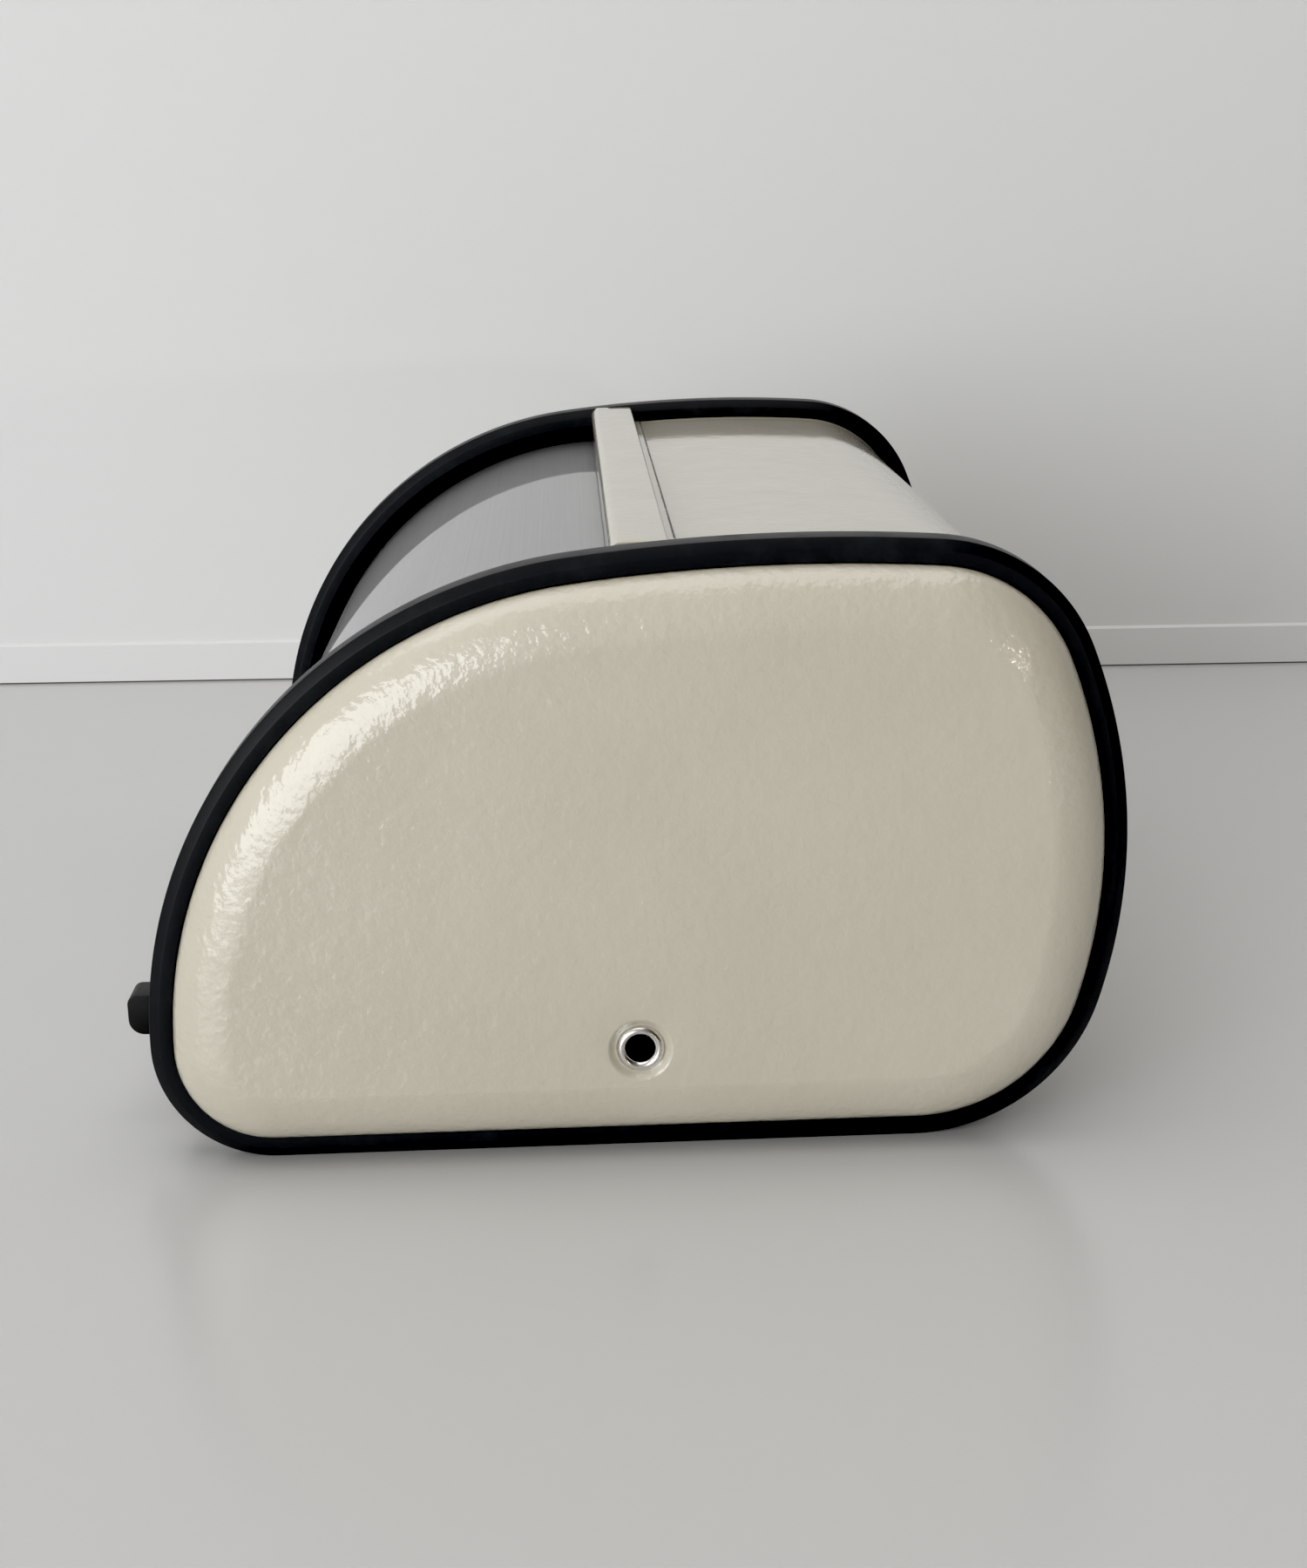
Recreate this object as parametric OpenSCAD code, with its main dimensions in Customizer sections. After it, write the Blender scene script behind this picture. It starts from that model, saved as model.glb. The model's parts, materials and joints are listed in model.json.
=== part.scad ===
// Bread box with a roll top. X runs along the box, -Y is the front, +Z is up.
// The origin is on the ground, under the middle of the whole box with its handle.

/* [Box] */
// Distance between the outer faces of the two edge trims
box_length = 322; // [300:2:360]
// Depth of the side outline, front to back, without the handle
box_depth = 250; // [246:1:254]
// Height of the lid's pivot above the ground; also the radius of the front bottom corner
pivot_height = 31; // [30:0.5:32]

/* [Side outline] */
// How far the crown tips forward where it meets the front arc, in degrees
crown_front_tilt = 7; // [6.5:0.1:7.5]
// How far the crown tips back where it meets the back top corner, in degrees
crown_back_tilt = 4.2; // [4:0.1:4.5]
// Tilt of the outline's normal where the back top corner meets the back wall
back_top_tilt = 68; // [66:0.5:70]
// Turn of the back bottom corner from the ground to the back wall
back_foot_turn = 73.5; // [72:0.5:75]
// Radius of the back top corner
back_top_r = 44; // [43:0.5:46]
// Radius of the back bottom corner
back_foot_r = 50; // [48:0.5:51]

/* [Sheet metal] */
// Thickness of the body, panel and lid sheet
sheet_t = 0.8; // [0.6:0.1:0.9]
// How far the body sheet lies inside the side outline
shell_inset = 6.8; // [6.7:0.1:7]
// How far the sheet flanges stop short of the side outline
flange_inset = 1.6; // [1.5:0.1:2]
// Angle of the body sheet's front lip below the pivot's level, round the front corner
sill_drop = 20.5; // [19:0.5:22]

/* [Edge trim] */
// Width of the rubber trim along the box
trim_w = 11.5; // [11:0.1:12]
// Thickness of the trim, measured in from the side outline
trim_t = 6.3; // [6:0.1:6.4]
// Depth to which the trim's outer edges are cut off on its side faces
trim_cut_face = 2.7; // [2:0.1:3]
// Width by which the trim's outer edges are cut off across its top
trim_cut_top = 1.6; // [1.2:0.1:2]

/* [End panels] */
// How far the domed panel stands out past the trim
dome_height = 10; // [8:0.5:12]
// Width of the panel's rounded shoulder
shoulder_w = 14; // [10:0.5:14]
// Radius of the pressed dimple round the pivot
dimple_r = 8.5; // [8:0.1:9]
// Depth of the dimple
dimple_depth = 1.6; // [1.2:0.1:1.8]

/* [Lid] */
// Outer radius of the curved lid about the pivot
lid_r = 113.5; // [113:0.1:114]
// Half the length of the lid, to the outside of its end lips
lid_half = 152; // [151.6:0.1:152.4]
// Where the lid's front edge lies below the pivot's level when shut, in degrees
lid_front_drop = 5.8; // [5.6:0.1:6]
// Where the lid's rear edge lies when shut, in degrees up from the back
lid_rear_angle = 84; // [83.5:0.1:84.5]
// Depth of the lid's end lips
lid_lip = 10; // [8:0.5:11]
// Depth of the turned-in long edges
lid_return = 3; // [2.5:0.1:3]
// Thickness of the arm plates
arm_t = 1.2; // [1:0.1:1.4]

/* [Top rail] */
// Front face of the rail, ahead of the pivot
rail_front = 4.5; // [4:0.1:5]
// Rear face of the rail, behind the pivot
rail_back = 9.4; // [9:0.1:10]
// Width of the rail's rear flange, which lies on the body
rail_flange = 4.3; // [4:0.1:5]
// Height of the rail's top face
rail_top = 156.8; // [156:0.1:157.4]

/* [Handle] */
// How far the handle reaches in front of the side outline
handle_reach = 10; // [9:0.5:11]
// Width and height of each handle post
post_size = 11; // [10:0.5:12]
// Gap between the trim's outer face and the near face of a post
post_gap = 25; // [24:0.5:30]
// Radius of the handle bar
bar_r = 2.8; // [2.5:0.1:3]

/* [Pivot] */
// Radius of the hole through the tubular rivet
rivet_bore_r = 3.7; // [3.5:0.1:3.8]
// Outer radius of the rivet's barrel
rivet_r = 4.3; // [4.2:0.05:4.4]
// Radius of the rivet's rolled flanges
rivet_flange_r = 6.15; // [6:0.05:6.4]
// Radius of the spacer and the washer on the rivet
spacer_r = 7; // [6.8:0.1:7.2]

/* [Hidden] */
$fn = 96;

// Play between parts that slip over each other, between parts that are pressed together,
// and round the screws
fit_gap = 0.05;
snug = 0.02;
screw_play = 0.15;

cream = [0.87, 0.85, 0.78];
black = [0.07, 0.07, 0.08];
steel = [0.72, 0.71, 0.70];
bright = [0.82, 0.82, 0.82];
nylon = [0.85, 0.85, 0.82];

// The side outline is drawn in a plane with the pivot's foot at [0, 0]: x runs to the
// back and y runs up. It is a flat base and six tangent arcs, back foot first.
half_depth = box_depth / 2;
foot = back_foot_turn;
wall = back_top_tilt;
rear = crown_back_tilt;
fore = crown_front_tilt;

// The crown and the back wall take the two radii that make the outline close:
// rise[0] * crown + rise[1] * wall = rise[2], and the same for run.
rise = [cos(rear) - cos(fore), -(cos(foot) + cos(wall)),
    back_foot_r * (1 - cos(foot)) + back_top_r * (cos(rear) - cos(wall))
    - pivot_height - half_depth * cos(fore)];
run = [sin(rear) + sin(fore), 1 - sin(wall),
    half_depth * (1 + sin(fore)) - back_top_r * (sin(wall) - sin(rear))];
closing = rise[0] * run[1] - rise[1] * run[0];
crown_r = (rise[2] * run[1] - rise[1] * run[2]) / closing;
wall_r = (rise[0] * run[2] - run[0] * rise[2]) / closing;

foot_c = [half_depth - wall_r * (1 - sin(foot)) - back_foot_r * sin(foot), back_foot_r];
wall_c = foot_c + (back_foot_r - wall_r) * [sin(foot), -cos(foot)];
top_c = wall_c + (wall_r - back_top_r) * [sin(wall), cos(wall)];
crown_c = top_c + (back_top_r - crown_r) * [sin(rear), cos(rear)];
nose_c = [pivot_height - half_depth, pivot_height];

// Each arc: centre, radius, first and last angle, anticlockwise from the back
foot_arc = [foot_c, back_foot_r, -90, foot - 90];
wall_arc = [wall_c, wall_r, foot - 90, 90 - wall];
top_arc = [top_c, back_top_r, 90 - wall, 90 - rear];
crown_arc = [crown_c, crown_r, 90 - rear, 90 + fore];
front_arc = [[0, pivot_height], half_depth, 90 + fore, 180];
nose_arc = [nose_c, pivot_height, 180, 270];
outline_arcs = [foot_arc, wall_arc, top_arc, crown_arc, front_arc, nose_arc];

// Places along the box
pivot_y = handle_reach / 2;
trim_out = box_length / 2;
trim_in = trim_out - trim_w;
seam = trim_in + trim_w / 2;
panel_face = trim_out + dome_height;
panel_gap = 0.6;
dimple_floor = panel_face - dimple_depth;
panel_back = dimple_floor - sheet_t;
arm_out = lid_half - sheet_t;
arm_in = arm_out - arm_t;
washer_t = 1;
washer_in = arm_in - fit_gap - washer_t;

// The body's front edge, hidden under the top rail
shell_front = -3.3;
shell_end_angle = acos((shell_front - crown_c[0]) / (crown_r - shell_inset));

// The lid's sweep and its stops
lid_end_angle = 180 + lid_front_drop;
lid_in_r = lid_r - sheet_t;
stop_x = 90;
ledge_z = 16.4;
ledge_front = -111.5;

// The arms' rivets, on the middle of the lid's end lips
rivet_angles = [115, 137.5, 160];
lip_mid = lid_in_r - lid_lip / 2;
arm_rivet_r = 1.6;

// The handle: distances are measured forwards from the pivot
post_x = trim_out - post_gap - post_size / 2;
post_tip = half_depth + handle_reach;
bar_cover = 8.5;
bar_y = post_tip - bar_cover;
bar_depth = 6;
screw_r = 2;
screw_short = 2;
screw_tip = bar_y - bar_r - screw_short;
handle_washer_t = 0.8;
handle_washer_r = 4.5;
washer_seat = lid_in_r - 0.1;

function polar(r, a) = r * [cos(a), sin(a)];
function arc_points(c, r, a, b, steps) = [for (i = [0:steps]) c + polar(r, a + (b - a) * i / steps)];

// Each arc leaves its last point to the next one, apart from those that end at the base
function outline_points(inset, steps) =
    [for (s = outline_arcs) for (i = [0:s == nose_arc ? steps : steps - 1])
        s[0] + polar(s[1] - inset, s[2] + (s[3] - s[2]) * i / steps)];
function crown_height(y, inset) =
    crown_c[1] + sqrt(pow(crown_r - inset, 2) - pow(y - crown_c[0], 2));

// Stands a side-view drawing up in the box: its z becomes the box's X
module side_view() {
    translate([0, pivot_y, 0]) rotate([90, 0, 90]) children();
}

// The same, with the pivot at the drawing's origin
module about_pivot() {
    side_view() translate([0, pivot_height, 0]) children();
}

// Sweeps a section along arcs of the outline. The section's x is 0 on the outline and
// negative inside it, and its y runs along the box.
module sweep(arcs) {
    for (s = arcs)
        translate([s[0][0], s[0][1], 0])
            rotate_extrude(angle = s[3] - s[2], start = s[2])
                translate([s[1], 0]) children();
}

// The same section along the flat base
module sweep_base() {
    translate([foot_c[0], 0, 0])
        rotate([90, 0, -90])
            linear_extrude(foot_c[0] - nose_c[0]) children();
}

module body_section() {
    edge = seam - sheet_t;
    deep = shell_inset + sheet_t;
    polygon([[-flange_inset, seam], [-deep, seam], [-deep, -seam], [-flange_inset, -seam],
        [-flange_inset, -edge], [-shell_inset, -edge], [-shell_inset, edge], [-flange_inset, edge]]);
}

// The crown laps a hair over the back top corner, so that the two runs join
module body_shell() {
    lap = 0.02;
    lip = [nose_c, pivot_height, 180 + sill_drop, 270];
    crown = [crown_c, crown_r, 90 - rear - lap, shell_end_angle];
    color(cream) side_view() {
        sweep([foot_arc, wall_arc, top_arc, crown, lip]) body_section();
        sweep_base() body_section();
    }
}

// Folded hat section whose rear flange is welded to the body
module top_rail() {
    fold_r = 1.8;
    lid_clearance = 3.1;
    front_foot = lid_r + pivot_height + lid_clearance;
    inner_back = rail_back - sheet_t;
    flange_end = rail_back + rail_flange;
    lift = 0.02;
    color(cream) side_view()
        translate([0, 0, -trim_in + fit_gap])
            linear_extrude(2 * (trim_in - fit_gap))
                polygon(concat(
                    [[-rail_front, front_foot]],
                    arc_points([fold_r - rail_front, rail_top - fold_r], fold_r, 180, 90, 6),
                    arc_points([rail_back - fold_r, rail_top - fold_r], fold_r, 90, 0, 6),
                    [[rail_back, crown_height(rail_back, shell_inset) + sheet_t],
                     [flange_end, crown_height(flange_end, shell_inset) + sheet_t],
                     [flange_end, crown_height(flange_end, shell_inset) + lift],
                     [inner_back, crown_height(inner_back, shell_inset) + lift]],
                    arc_points([rail_back - fold_r, rail_top - fold_r], fold_r - sheet_t, 0, 90, 6),
                    arc_points([fold_r - rail_front, rail_top - fold_r], fold_r - sheet_t, 90, 180, 6),
                    [[sheet_t - rail_front, front_foot]]));
}

// Z strip inside the front lip, which carries the closing bumpers
module front_sill() {
    leg = nose_c[0];
    foot_w = 7;
    foot_end = leg + foot_w;
    floor_z = shell_inset + sheet_t;
    end_gap = 1;
    half = trim_in - end_gap;
    color(cream) side_view()
        translate([0, 0, -half])
            linear_extrude(2 * half)
                polygon([[ledge_front, ledge_z], [ledge_front, ledge_z - sheet_t],
                    [leg, ledge_z - sheet_t], [leg, floor_z], [foot_end, floor_z],
                    [foot_end, floor_z + sheet_t], [leg + sheet_t, floor_z + sheet_t],
                    [leg + sheet_t, ledge_z]]);
}

// Joins copies of the outline, one for each [inset, place along the box], into a solid
module loft(levels, steps) {
    count = len(outline_points(0, steps));
    points = [for (v = levels) for (p = outline_points(v[0], steps)) [p[0], p[1], v[1]]];
    top = (len(levels) - 1) * count;
    sides = [for (k = [0:count:top - count]) for (i = [0:count - 1])
        [k + i, k + count + i, k + count + (i + 1) % count, k + (i + 1) % count]];
    polyhedron(points, concat([[for (i = [0:count - 1]) i]], sides,
        [[for (i = [count - 1:-1:0]) top + i]]));
}

// Solid of a dome whose shoulder is a quarter ellipse. skin moves its whole surface in
// by one sheet, for the inside of the panel.
module dome(skin) {
    layers = 8;
    arc_steps = 10;
    side_inset = trim_t + panel_gap + skin;
    across = shoulder_w - skin;
    up = dome_height - skin;
    loft(concat([[side_inset, seam - skin]],
        [for (i = [0:layers])
            [side_inset + across * (1 - cos(90 * i / layers)), trim_out + up * sin(90 * i / layers)]]),
        arc_steps);
}

// Its wall slopes at 45 degrees, and the back of the wall lies one sheet behind the front
module panel_dimple() {
    floor_r = dimple_r - dimple_depth;
    behind = sheet_t * (sqrt(2) - 1);
    rim_r = dimple_r + sheet_t;
    about_pivot() rotate_extrude()
        polygon([[rivet_r + fit_gap, panel_back], [floor_r + behind, panel_back],
            [dimple_r + behind, panel_face - sheet_t], [rim_r, panel_face - sheet_t],
            [rim_r, panel_face], [dimple_r, panel_face],
            [floor_r, dimple_floor], [rivet_r + fit_gap, dimple_floor]]);
}

module end_panel() {
    flange_steps = 16;
    color(cream) {
        side_view() difference() {
            union() {
                dome(0);
                translate([0, 0, seam])
                    linear_extrude(sheet_t) polygon(outline_points(flange_inset, flange_steps));
            }
            dome(sheet_t);
            translate([0, pivot_height, panel_face - 2 * sheet_t])
                cylinder(h = 4 * sheet_t, r = dimple_r + sheet_t / 2);
        }
        panel_dimple();
    }
}

// U channel that grips the two sheet flanges, with its outer edges cut off
module trim_section() {
    slot_in = seam - sheet_t - fit_gap;
    slot_out = seam + sheet_t + fit_gap;
    slot_play = 0.2;
    slot_top = flange_inset - slot_play;
    polygon([[-trim_t, trim_in], [-trim_cut_face, trim_in], [0, trim_in + trim_cut_top],
        [0, trim_out - trim_cut_top], [-trim_cut_face, trim_out], [-trim_t, trim_out],
        [-trim_t, slot_out], [-slot_top, slot_out], [-slot_top, slot_in], [-trim_t, slot_in]]);
}

module edge_trim() {
    color(black) side_view() {
        sweep(outline_arcs) trim_section();
        sweep_base() trim_section();
    }
}

// Tubular rivet with both ends rolled over
module pivot_rivet() {
    roll = 1.5;
    mid_r = (rivet_bore_r + rivet_flange_r) / 2;
    half_w = (rivet_flange_r - rivet_bore_r) / 2;
    outer = [for (i = [0:8]) [mid_r - half_w * cos(180 * i / 8), dimple_floor + roll * sin(180 * i / 8)]];
    inner = [for (i = [0:8]) [mid_r + half_w * cos(180 * i / 8), washer_in - roll * sin(180 * i / 8)]];
    color(bright) about_pivot() rotate_extrude()
        polygon(concat(outer, [[rivet_r, dimple_floor], [rivet_r, washer_in]], inner));
}

module pivot_spacer() {
    color(nylon) about_pivot()
        translate([0, 0, arm_out + fit_gap])
            difference() {
                cylinder(h = panel_back - arm_out - fit_gap, r = spacer_r);
                translate([0, 0, -1]) cylinder(h = panel_back, r = rivet_r + fit_gap);
            }
}

module pivot_washer() {
    color(steel) about_pivot()
        translate([0, 0, washer_in])
            difference() {
                cylinder(h = washer_t, r = spacer_r);
                translate([0, 0, -1]) cylinder(h = washer_t + 2, r = rivet_r + fit_gap);
            }
}

// Rubber blocks on which the lid's front edge rests when it is shut
module closing_bumpers() {
    size = [14, 5.6, 3.1];
    edge_gap = 0.1;
    for (x = [-stop_x, stop_x])
        color(black)
            translate([x - size[0] / 2, pivot_y + ledge_front + edge_gap, ledge_z]) cube(size);
}

// Rubber buttons on the back wall, where the lid's rear edge stops when it is open
module opening_bumpers() {
    wall_angle = -12.6;
    button_h = 8;
    button_r = 3.5;
    base = wall_r - shell_inset - sheet_t - 0.1;
    for (x = [-stop_x, stop_x])
        color(black) side_view() translate([wall_c[0], wall_c[1], x])
            rotate([0, 0, wall_angle]) translate([base - button_h, 0, 0])
                rotate([0, 90, 0]) cylinder(h = button_h, r = button_r);
}

module lid_section(inner_r, half) {
    translate([inner_r, -half]) square([lid_r - inner_r, 2 * half]);
}

module end_lip_section() {
    for (x = [-lid_half, arm_out])
        translate([lid_in_r - lid_lip, x]) square([lid_lip + sheet_t / 2, sheet_t]);
}

module lid_sheet() {
    span = lid_end_angle - lid_rear_angle;
    edge_turn = 0.4;
    color(steel) about_pivot() difference() {
        union() {
            rotate_extrude(angle = span, start = lid_rear_angle) lid_section(lid_in_r, lid_half);
            rotate_extrude(angle = span, start = lid_rear_angle) end_lip_section();
            for (a = [lid_rear_angle, lid_end_angle - edge_turn])
                rotate_extrude(angle = edge_turn, start = a) lid_section(lid_r - lid_return, arm_out);
        }
        for (a = rivet_angles)
            translate(concat(polar(lip_mid, a), -lid_half - 1))
                cylinder(h = 2 * lid_half + 2, r = arm_rivet_r + snug);
        for (x = [-post_x, post_x])
            translate([-lid_r - 1, 0, x]) rotate([0, 90, 0]) cylinder(h = 3, r = screw_r + screw_play);
    }
}

// Flat plate from the pivot to the lid's end lip
module lid_arm() {
    hub_r = 12;
    edge_r = lid_in_r - 0.1;
    first = 110;
    last = 165;
    color(steel) about_pivot() translate([0, 0, arm_in]) difference() {
        union() {
            cylinder(h = arm_t, r = hub_r);
            linear_extrude(arm_t) polygon(concat(
                [polar(hub_r, last + 90), polar(hub_r, first - 90)],
                arc_points([0, 0], edge_r, first, last, 24)));
        }
        translate([0, 0, -1]) cylinder(h = arm_t + 2, r = rivet_r + fit_gap);
        for (a = rivet_angles)
            translate(concat(polar(lip_mid, a), -1)) cylinder(h = arm_t + 2, r = arm_rivet_r + snug);
    }
}

module arm_rivets() {
    head_r = 3;
    head_t = 1;
    crown_w = head_r / 2;
    chamfer = 0.5;
    color(bright) about_pivot() for (a = rivet_angles)
        translate(concat(polar(lip_mid, a), 0)) rotate_extrude()
            polygon([[0, arm_in - head_t], [head_r - chamfer, arm_in - head_t], [head_r, arm_in],
                [arm_rivet_r, arm_in], [arm_rivet_r, lid_half], [head_r, lid_half],
                [head_r - chamfer, lid_half + 0.7 * head_t], [crown_w, lid_half + head_t],
                [0, lid_half + head_t]]);
}

// Round-ended block, hollowed at its foot to sit on the curved lid
module handle_post() {
    round_r = post_size / 2;
    color(black) about_pivot() difference() {
        translate([0, 0, post_x - round_r]) union() {
            translate([round_r - post_tip, 0, 0]) cylinder(h = post_size, r = round_r);
            translate([round_r - post_tip, -round_r, 0])
                cube([post_tip - round_r - lid_r + 2, post_size, post_size]);
        }
        translate([0, 0, post_x - post_size]) cylinder(h = 2 * post_size, r = lid_r + snug, $fn = 180);
        translate([-screw_tip - 0.5, 0, post_x]) rotate([0, 90, 0]) cylinder(h = 20, r = screw_r + snug);
        translate([-bar_y, 0, post_x - round_r - 1]) cylinder(h = bar_depth + 1, r = bar_r + snug);
    }
}

module handle_bar() {
    half = post_x - post_size / 2 + bar_depth - fit_gap;
    color(black) about_pivot() translate([-bar_y, 0, -half]) cylinder(h = 2 * half, r = bar_r);
}

module handle_screws() {
    head_r = 3.8;
    head_h = 2.2;
    recess = [2, 4.4, 0.9];
    head_seat = washer_seat - handle_washer_t;
    for (x = [-post_x, post_x])
        color(bright) about_pivot() translate([-head_seat, 0, x]) difference() {
            union() {
                translate([head_seat - screw_tip, 0, 0])
                    rotate([0, 90, 0]) cylinder(h = screw_tip - head_seat, r = screw_r);
                rotate([0, 90, 0]) cylinder(h = head_h, r = head_r);
            }
            for (turn = [0, 90])
                rotate([turn, 0, 0])
                    translate([head_h - 1, -recess[1] / 2, -recess[2] / 2]) cube(recess);
        }
}

module handle_washers() {
    for (x = [-post_x, post_x])
        color(bright) about_pivot() translate([-washer_seat, 0, x])
            rotate([0, 90, 0]) difference() {
                cylinder(h = handle_washer_t, r = handle_washer_r);
                translate([0, 0, -1]) cylinder(h = 3, r = screw_r + screw_play);
            }
}

module left() {
    mirror([1, 0, 0]) children();
}

body_shell();
top_rail();
front_sill();
left() end_panel();  // end_panel_left
end_panel();  // end_panel_right
left() edge_trim();  // edge_trim_left
edge_trim();  // edge_trim_right
left() pivot_rivet();  // pivot_rivet_left
pivot_rivet();  // pivot_rivet_right
left() pivot_spacer();  // pivot_spacer_left
pivot_spacer();  // pivot_spacer_right
left() pivot_washer();  // pivot_washer_left
pivot_washer();  // pivot_washer_right
closing_bumpers();
opening_bumpers();
lid_sheet();
left() lid_arm();  // lid_arm_left
lid_arm();  // lid_arm_right
left() arm_rivets();  // arm_rivets_left
arm_rivets();  // arm_rivets_right
left() handle_post();  // handle_post_left
handle_post();  // handle_post_right
handle_bar();
handle_screws();
handle_washers();
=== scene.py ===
import json
import logging
import math
from dataclasses import dataclass, field
from enum import Enum
from typing import Any, Optional, Protocol, Sequence, Union

import bmesh
import bpy
from mathutils import Matrix, Vector


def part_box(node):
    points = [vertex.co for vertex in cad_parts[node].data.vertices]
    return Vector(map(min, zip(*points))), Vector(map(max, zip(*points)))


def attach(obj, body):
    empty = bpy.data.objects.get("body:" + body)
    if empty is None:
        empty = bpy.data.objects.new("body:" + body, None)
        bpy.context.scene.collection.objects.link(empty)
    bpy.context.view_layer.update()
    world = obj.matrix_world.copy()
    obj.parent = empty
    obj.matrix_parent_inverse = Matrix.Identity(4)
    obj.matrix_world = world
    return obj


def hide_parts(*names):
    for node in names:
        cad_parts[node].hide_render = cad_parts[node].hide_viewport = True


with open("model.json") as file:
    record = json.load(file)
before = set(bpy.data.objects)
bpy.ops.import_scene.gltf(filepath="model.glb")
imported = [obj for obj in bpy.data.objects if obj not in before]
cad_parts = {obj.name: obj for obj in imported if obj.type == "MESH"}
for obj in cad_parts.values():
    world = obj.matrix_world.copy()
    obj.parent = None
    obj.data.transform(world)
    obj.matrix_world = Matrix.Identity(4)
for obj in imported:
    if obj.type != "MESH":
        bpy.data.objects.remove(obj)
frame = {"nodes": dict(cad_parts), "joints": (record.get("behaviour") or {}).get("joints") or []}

LOG = logging.getLogger("bread_box")
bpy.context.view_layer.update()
MM = 0.001
SMOOTH_LIMIT = math.radians(32)

Rgb = tuple[float, float, float]
Ring = list[Vector]
Section = list[tuple[float, float]]
SocketValue = Union[bpy.types.NodeSocket, float, int, bool, Sequence[float], bpy.types.ID]


class Body(Enum):
    """The two bodies that the lid's hinge joins."""

    BOX = "box"
    LID = "lid"


class End(Enum):
    """The two ends of the box, with the sign of their X."""

    LEFT = -1
    RIGHT = 1

    @property
    def word(self) -> str:
        """The end's name as the nodes spell it."""
        return self.name.lower()


class Slot(Enum):
    """The record's material slots."""

    ENAMEL = "cream_enamel"
    TRIM = "black_trim"
    RIVET = "rivet_metal"
    NYLON = "nylon"
    WASHER = "washer_steel"
    BUMPER = "bumper_rubber"
    LID = "satin_steel"
    ARM = "arm_steel"
    HANDLE = "handle_black"


# ---------------------------------------------------------------------------
# Node trees
# ---------------------------------------------------------------------------


class TreeBuilder:
    """Adds nodes to a node tree and wires them as it goes."""

    def __init__(self, tree: bpy.types.NodeTree) -> None:
        """Keeps the tree that the nodes go into."""
        self.tree = tree

    def node(self, kind: str, feeds: Optional[dict] = None, **settings: Any) -> bpy.types.Node:
        """Adds one node.

        Args:
            kind: The node's type name.
            feeds: What each input gets, by name or number: a socket to link or a value to set.
            settings: Properties of the node itself, such as its operation.

        Returns:
            The new node.
        """
        made = self.tree.nodes.new(kind)
        for key, value in settings.items():
            setattr(made, key, value)
        for key, value in (feeds or {}).items():
            self.feed(made.inputs[key], value)
        return made

    def feed(self, socket: bpy.types.NodeSocket, value: SocketValue) -> None:
        """Links a socket to another, or sets its value."""
        if isinstance(value, bpy.types.NodeSocket):
            self.tree.links.new(value, socket)
        else:
            socket.default_value = value

    def math(self, operation: str, first: SocketValue, second: SocketValue = 0.0) -> bpy.types.NodeSocket:
        """Adds a Math node and returns its result."""
        return self.node("ShaderNodeMath", {0: first, 1: second}, operation=operation).outputs[0]

    def spread(self, value: SocketValue, low: float, high: float, start: float = 0.0,
               end: float = 1.0) -> bpy.types.NodeSocket:
        """Maps a value from one range to another.

        Args:
            value: The socket to map.
            low: The start of the range that comes in.
            high: The end of the range that comes in.
            start: What `low` becomes.
            end: What `high` becomes.

        Returns:
            The mapped value's socket.
        """
        feeds = {"Value": value, "From Min": low, "From Max": high, "To Min": start, "To Max": end}
        return self.node("ShaderNodeMapRange", feeds).outputs[0]

    def blend(self, factor: SocketValue, first: SocketValue, second: SocketValue) -> bpy.types.NodeSocket:
        """Mixes two colours and returns the result."""
        mix = self.node("ShaderNodeMix", data_type="RGBA")
        for name, value in (("Factor_Float", factor), ("A_Color", first), ("B_Color", second)):
            socket = next(s for s in mix.inputs if s.identifier == name)
            self.feed(socket, value)
        return next(s for s in mix.outputs if s.identifier == "Result_Color")


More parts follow.
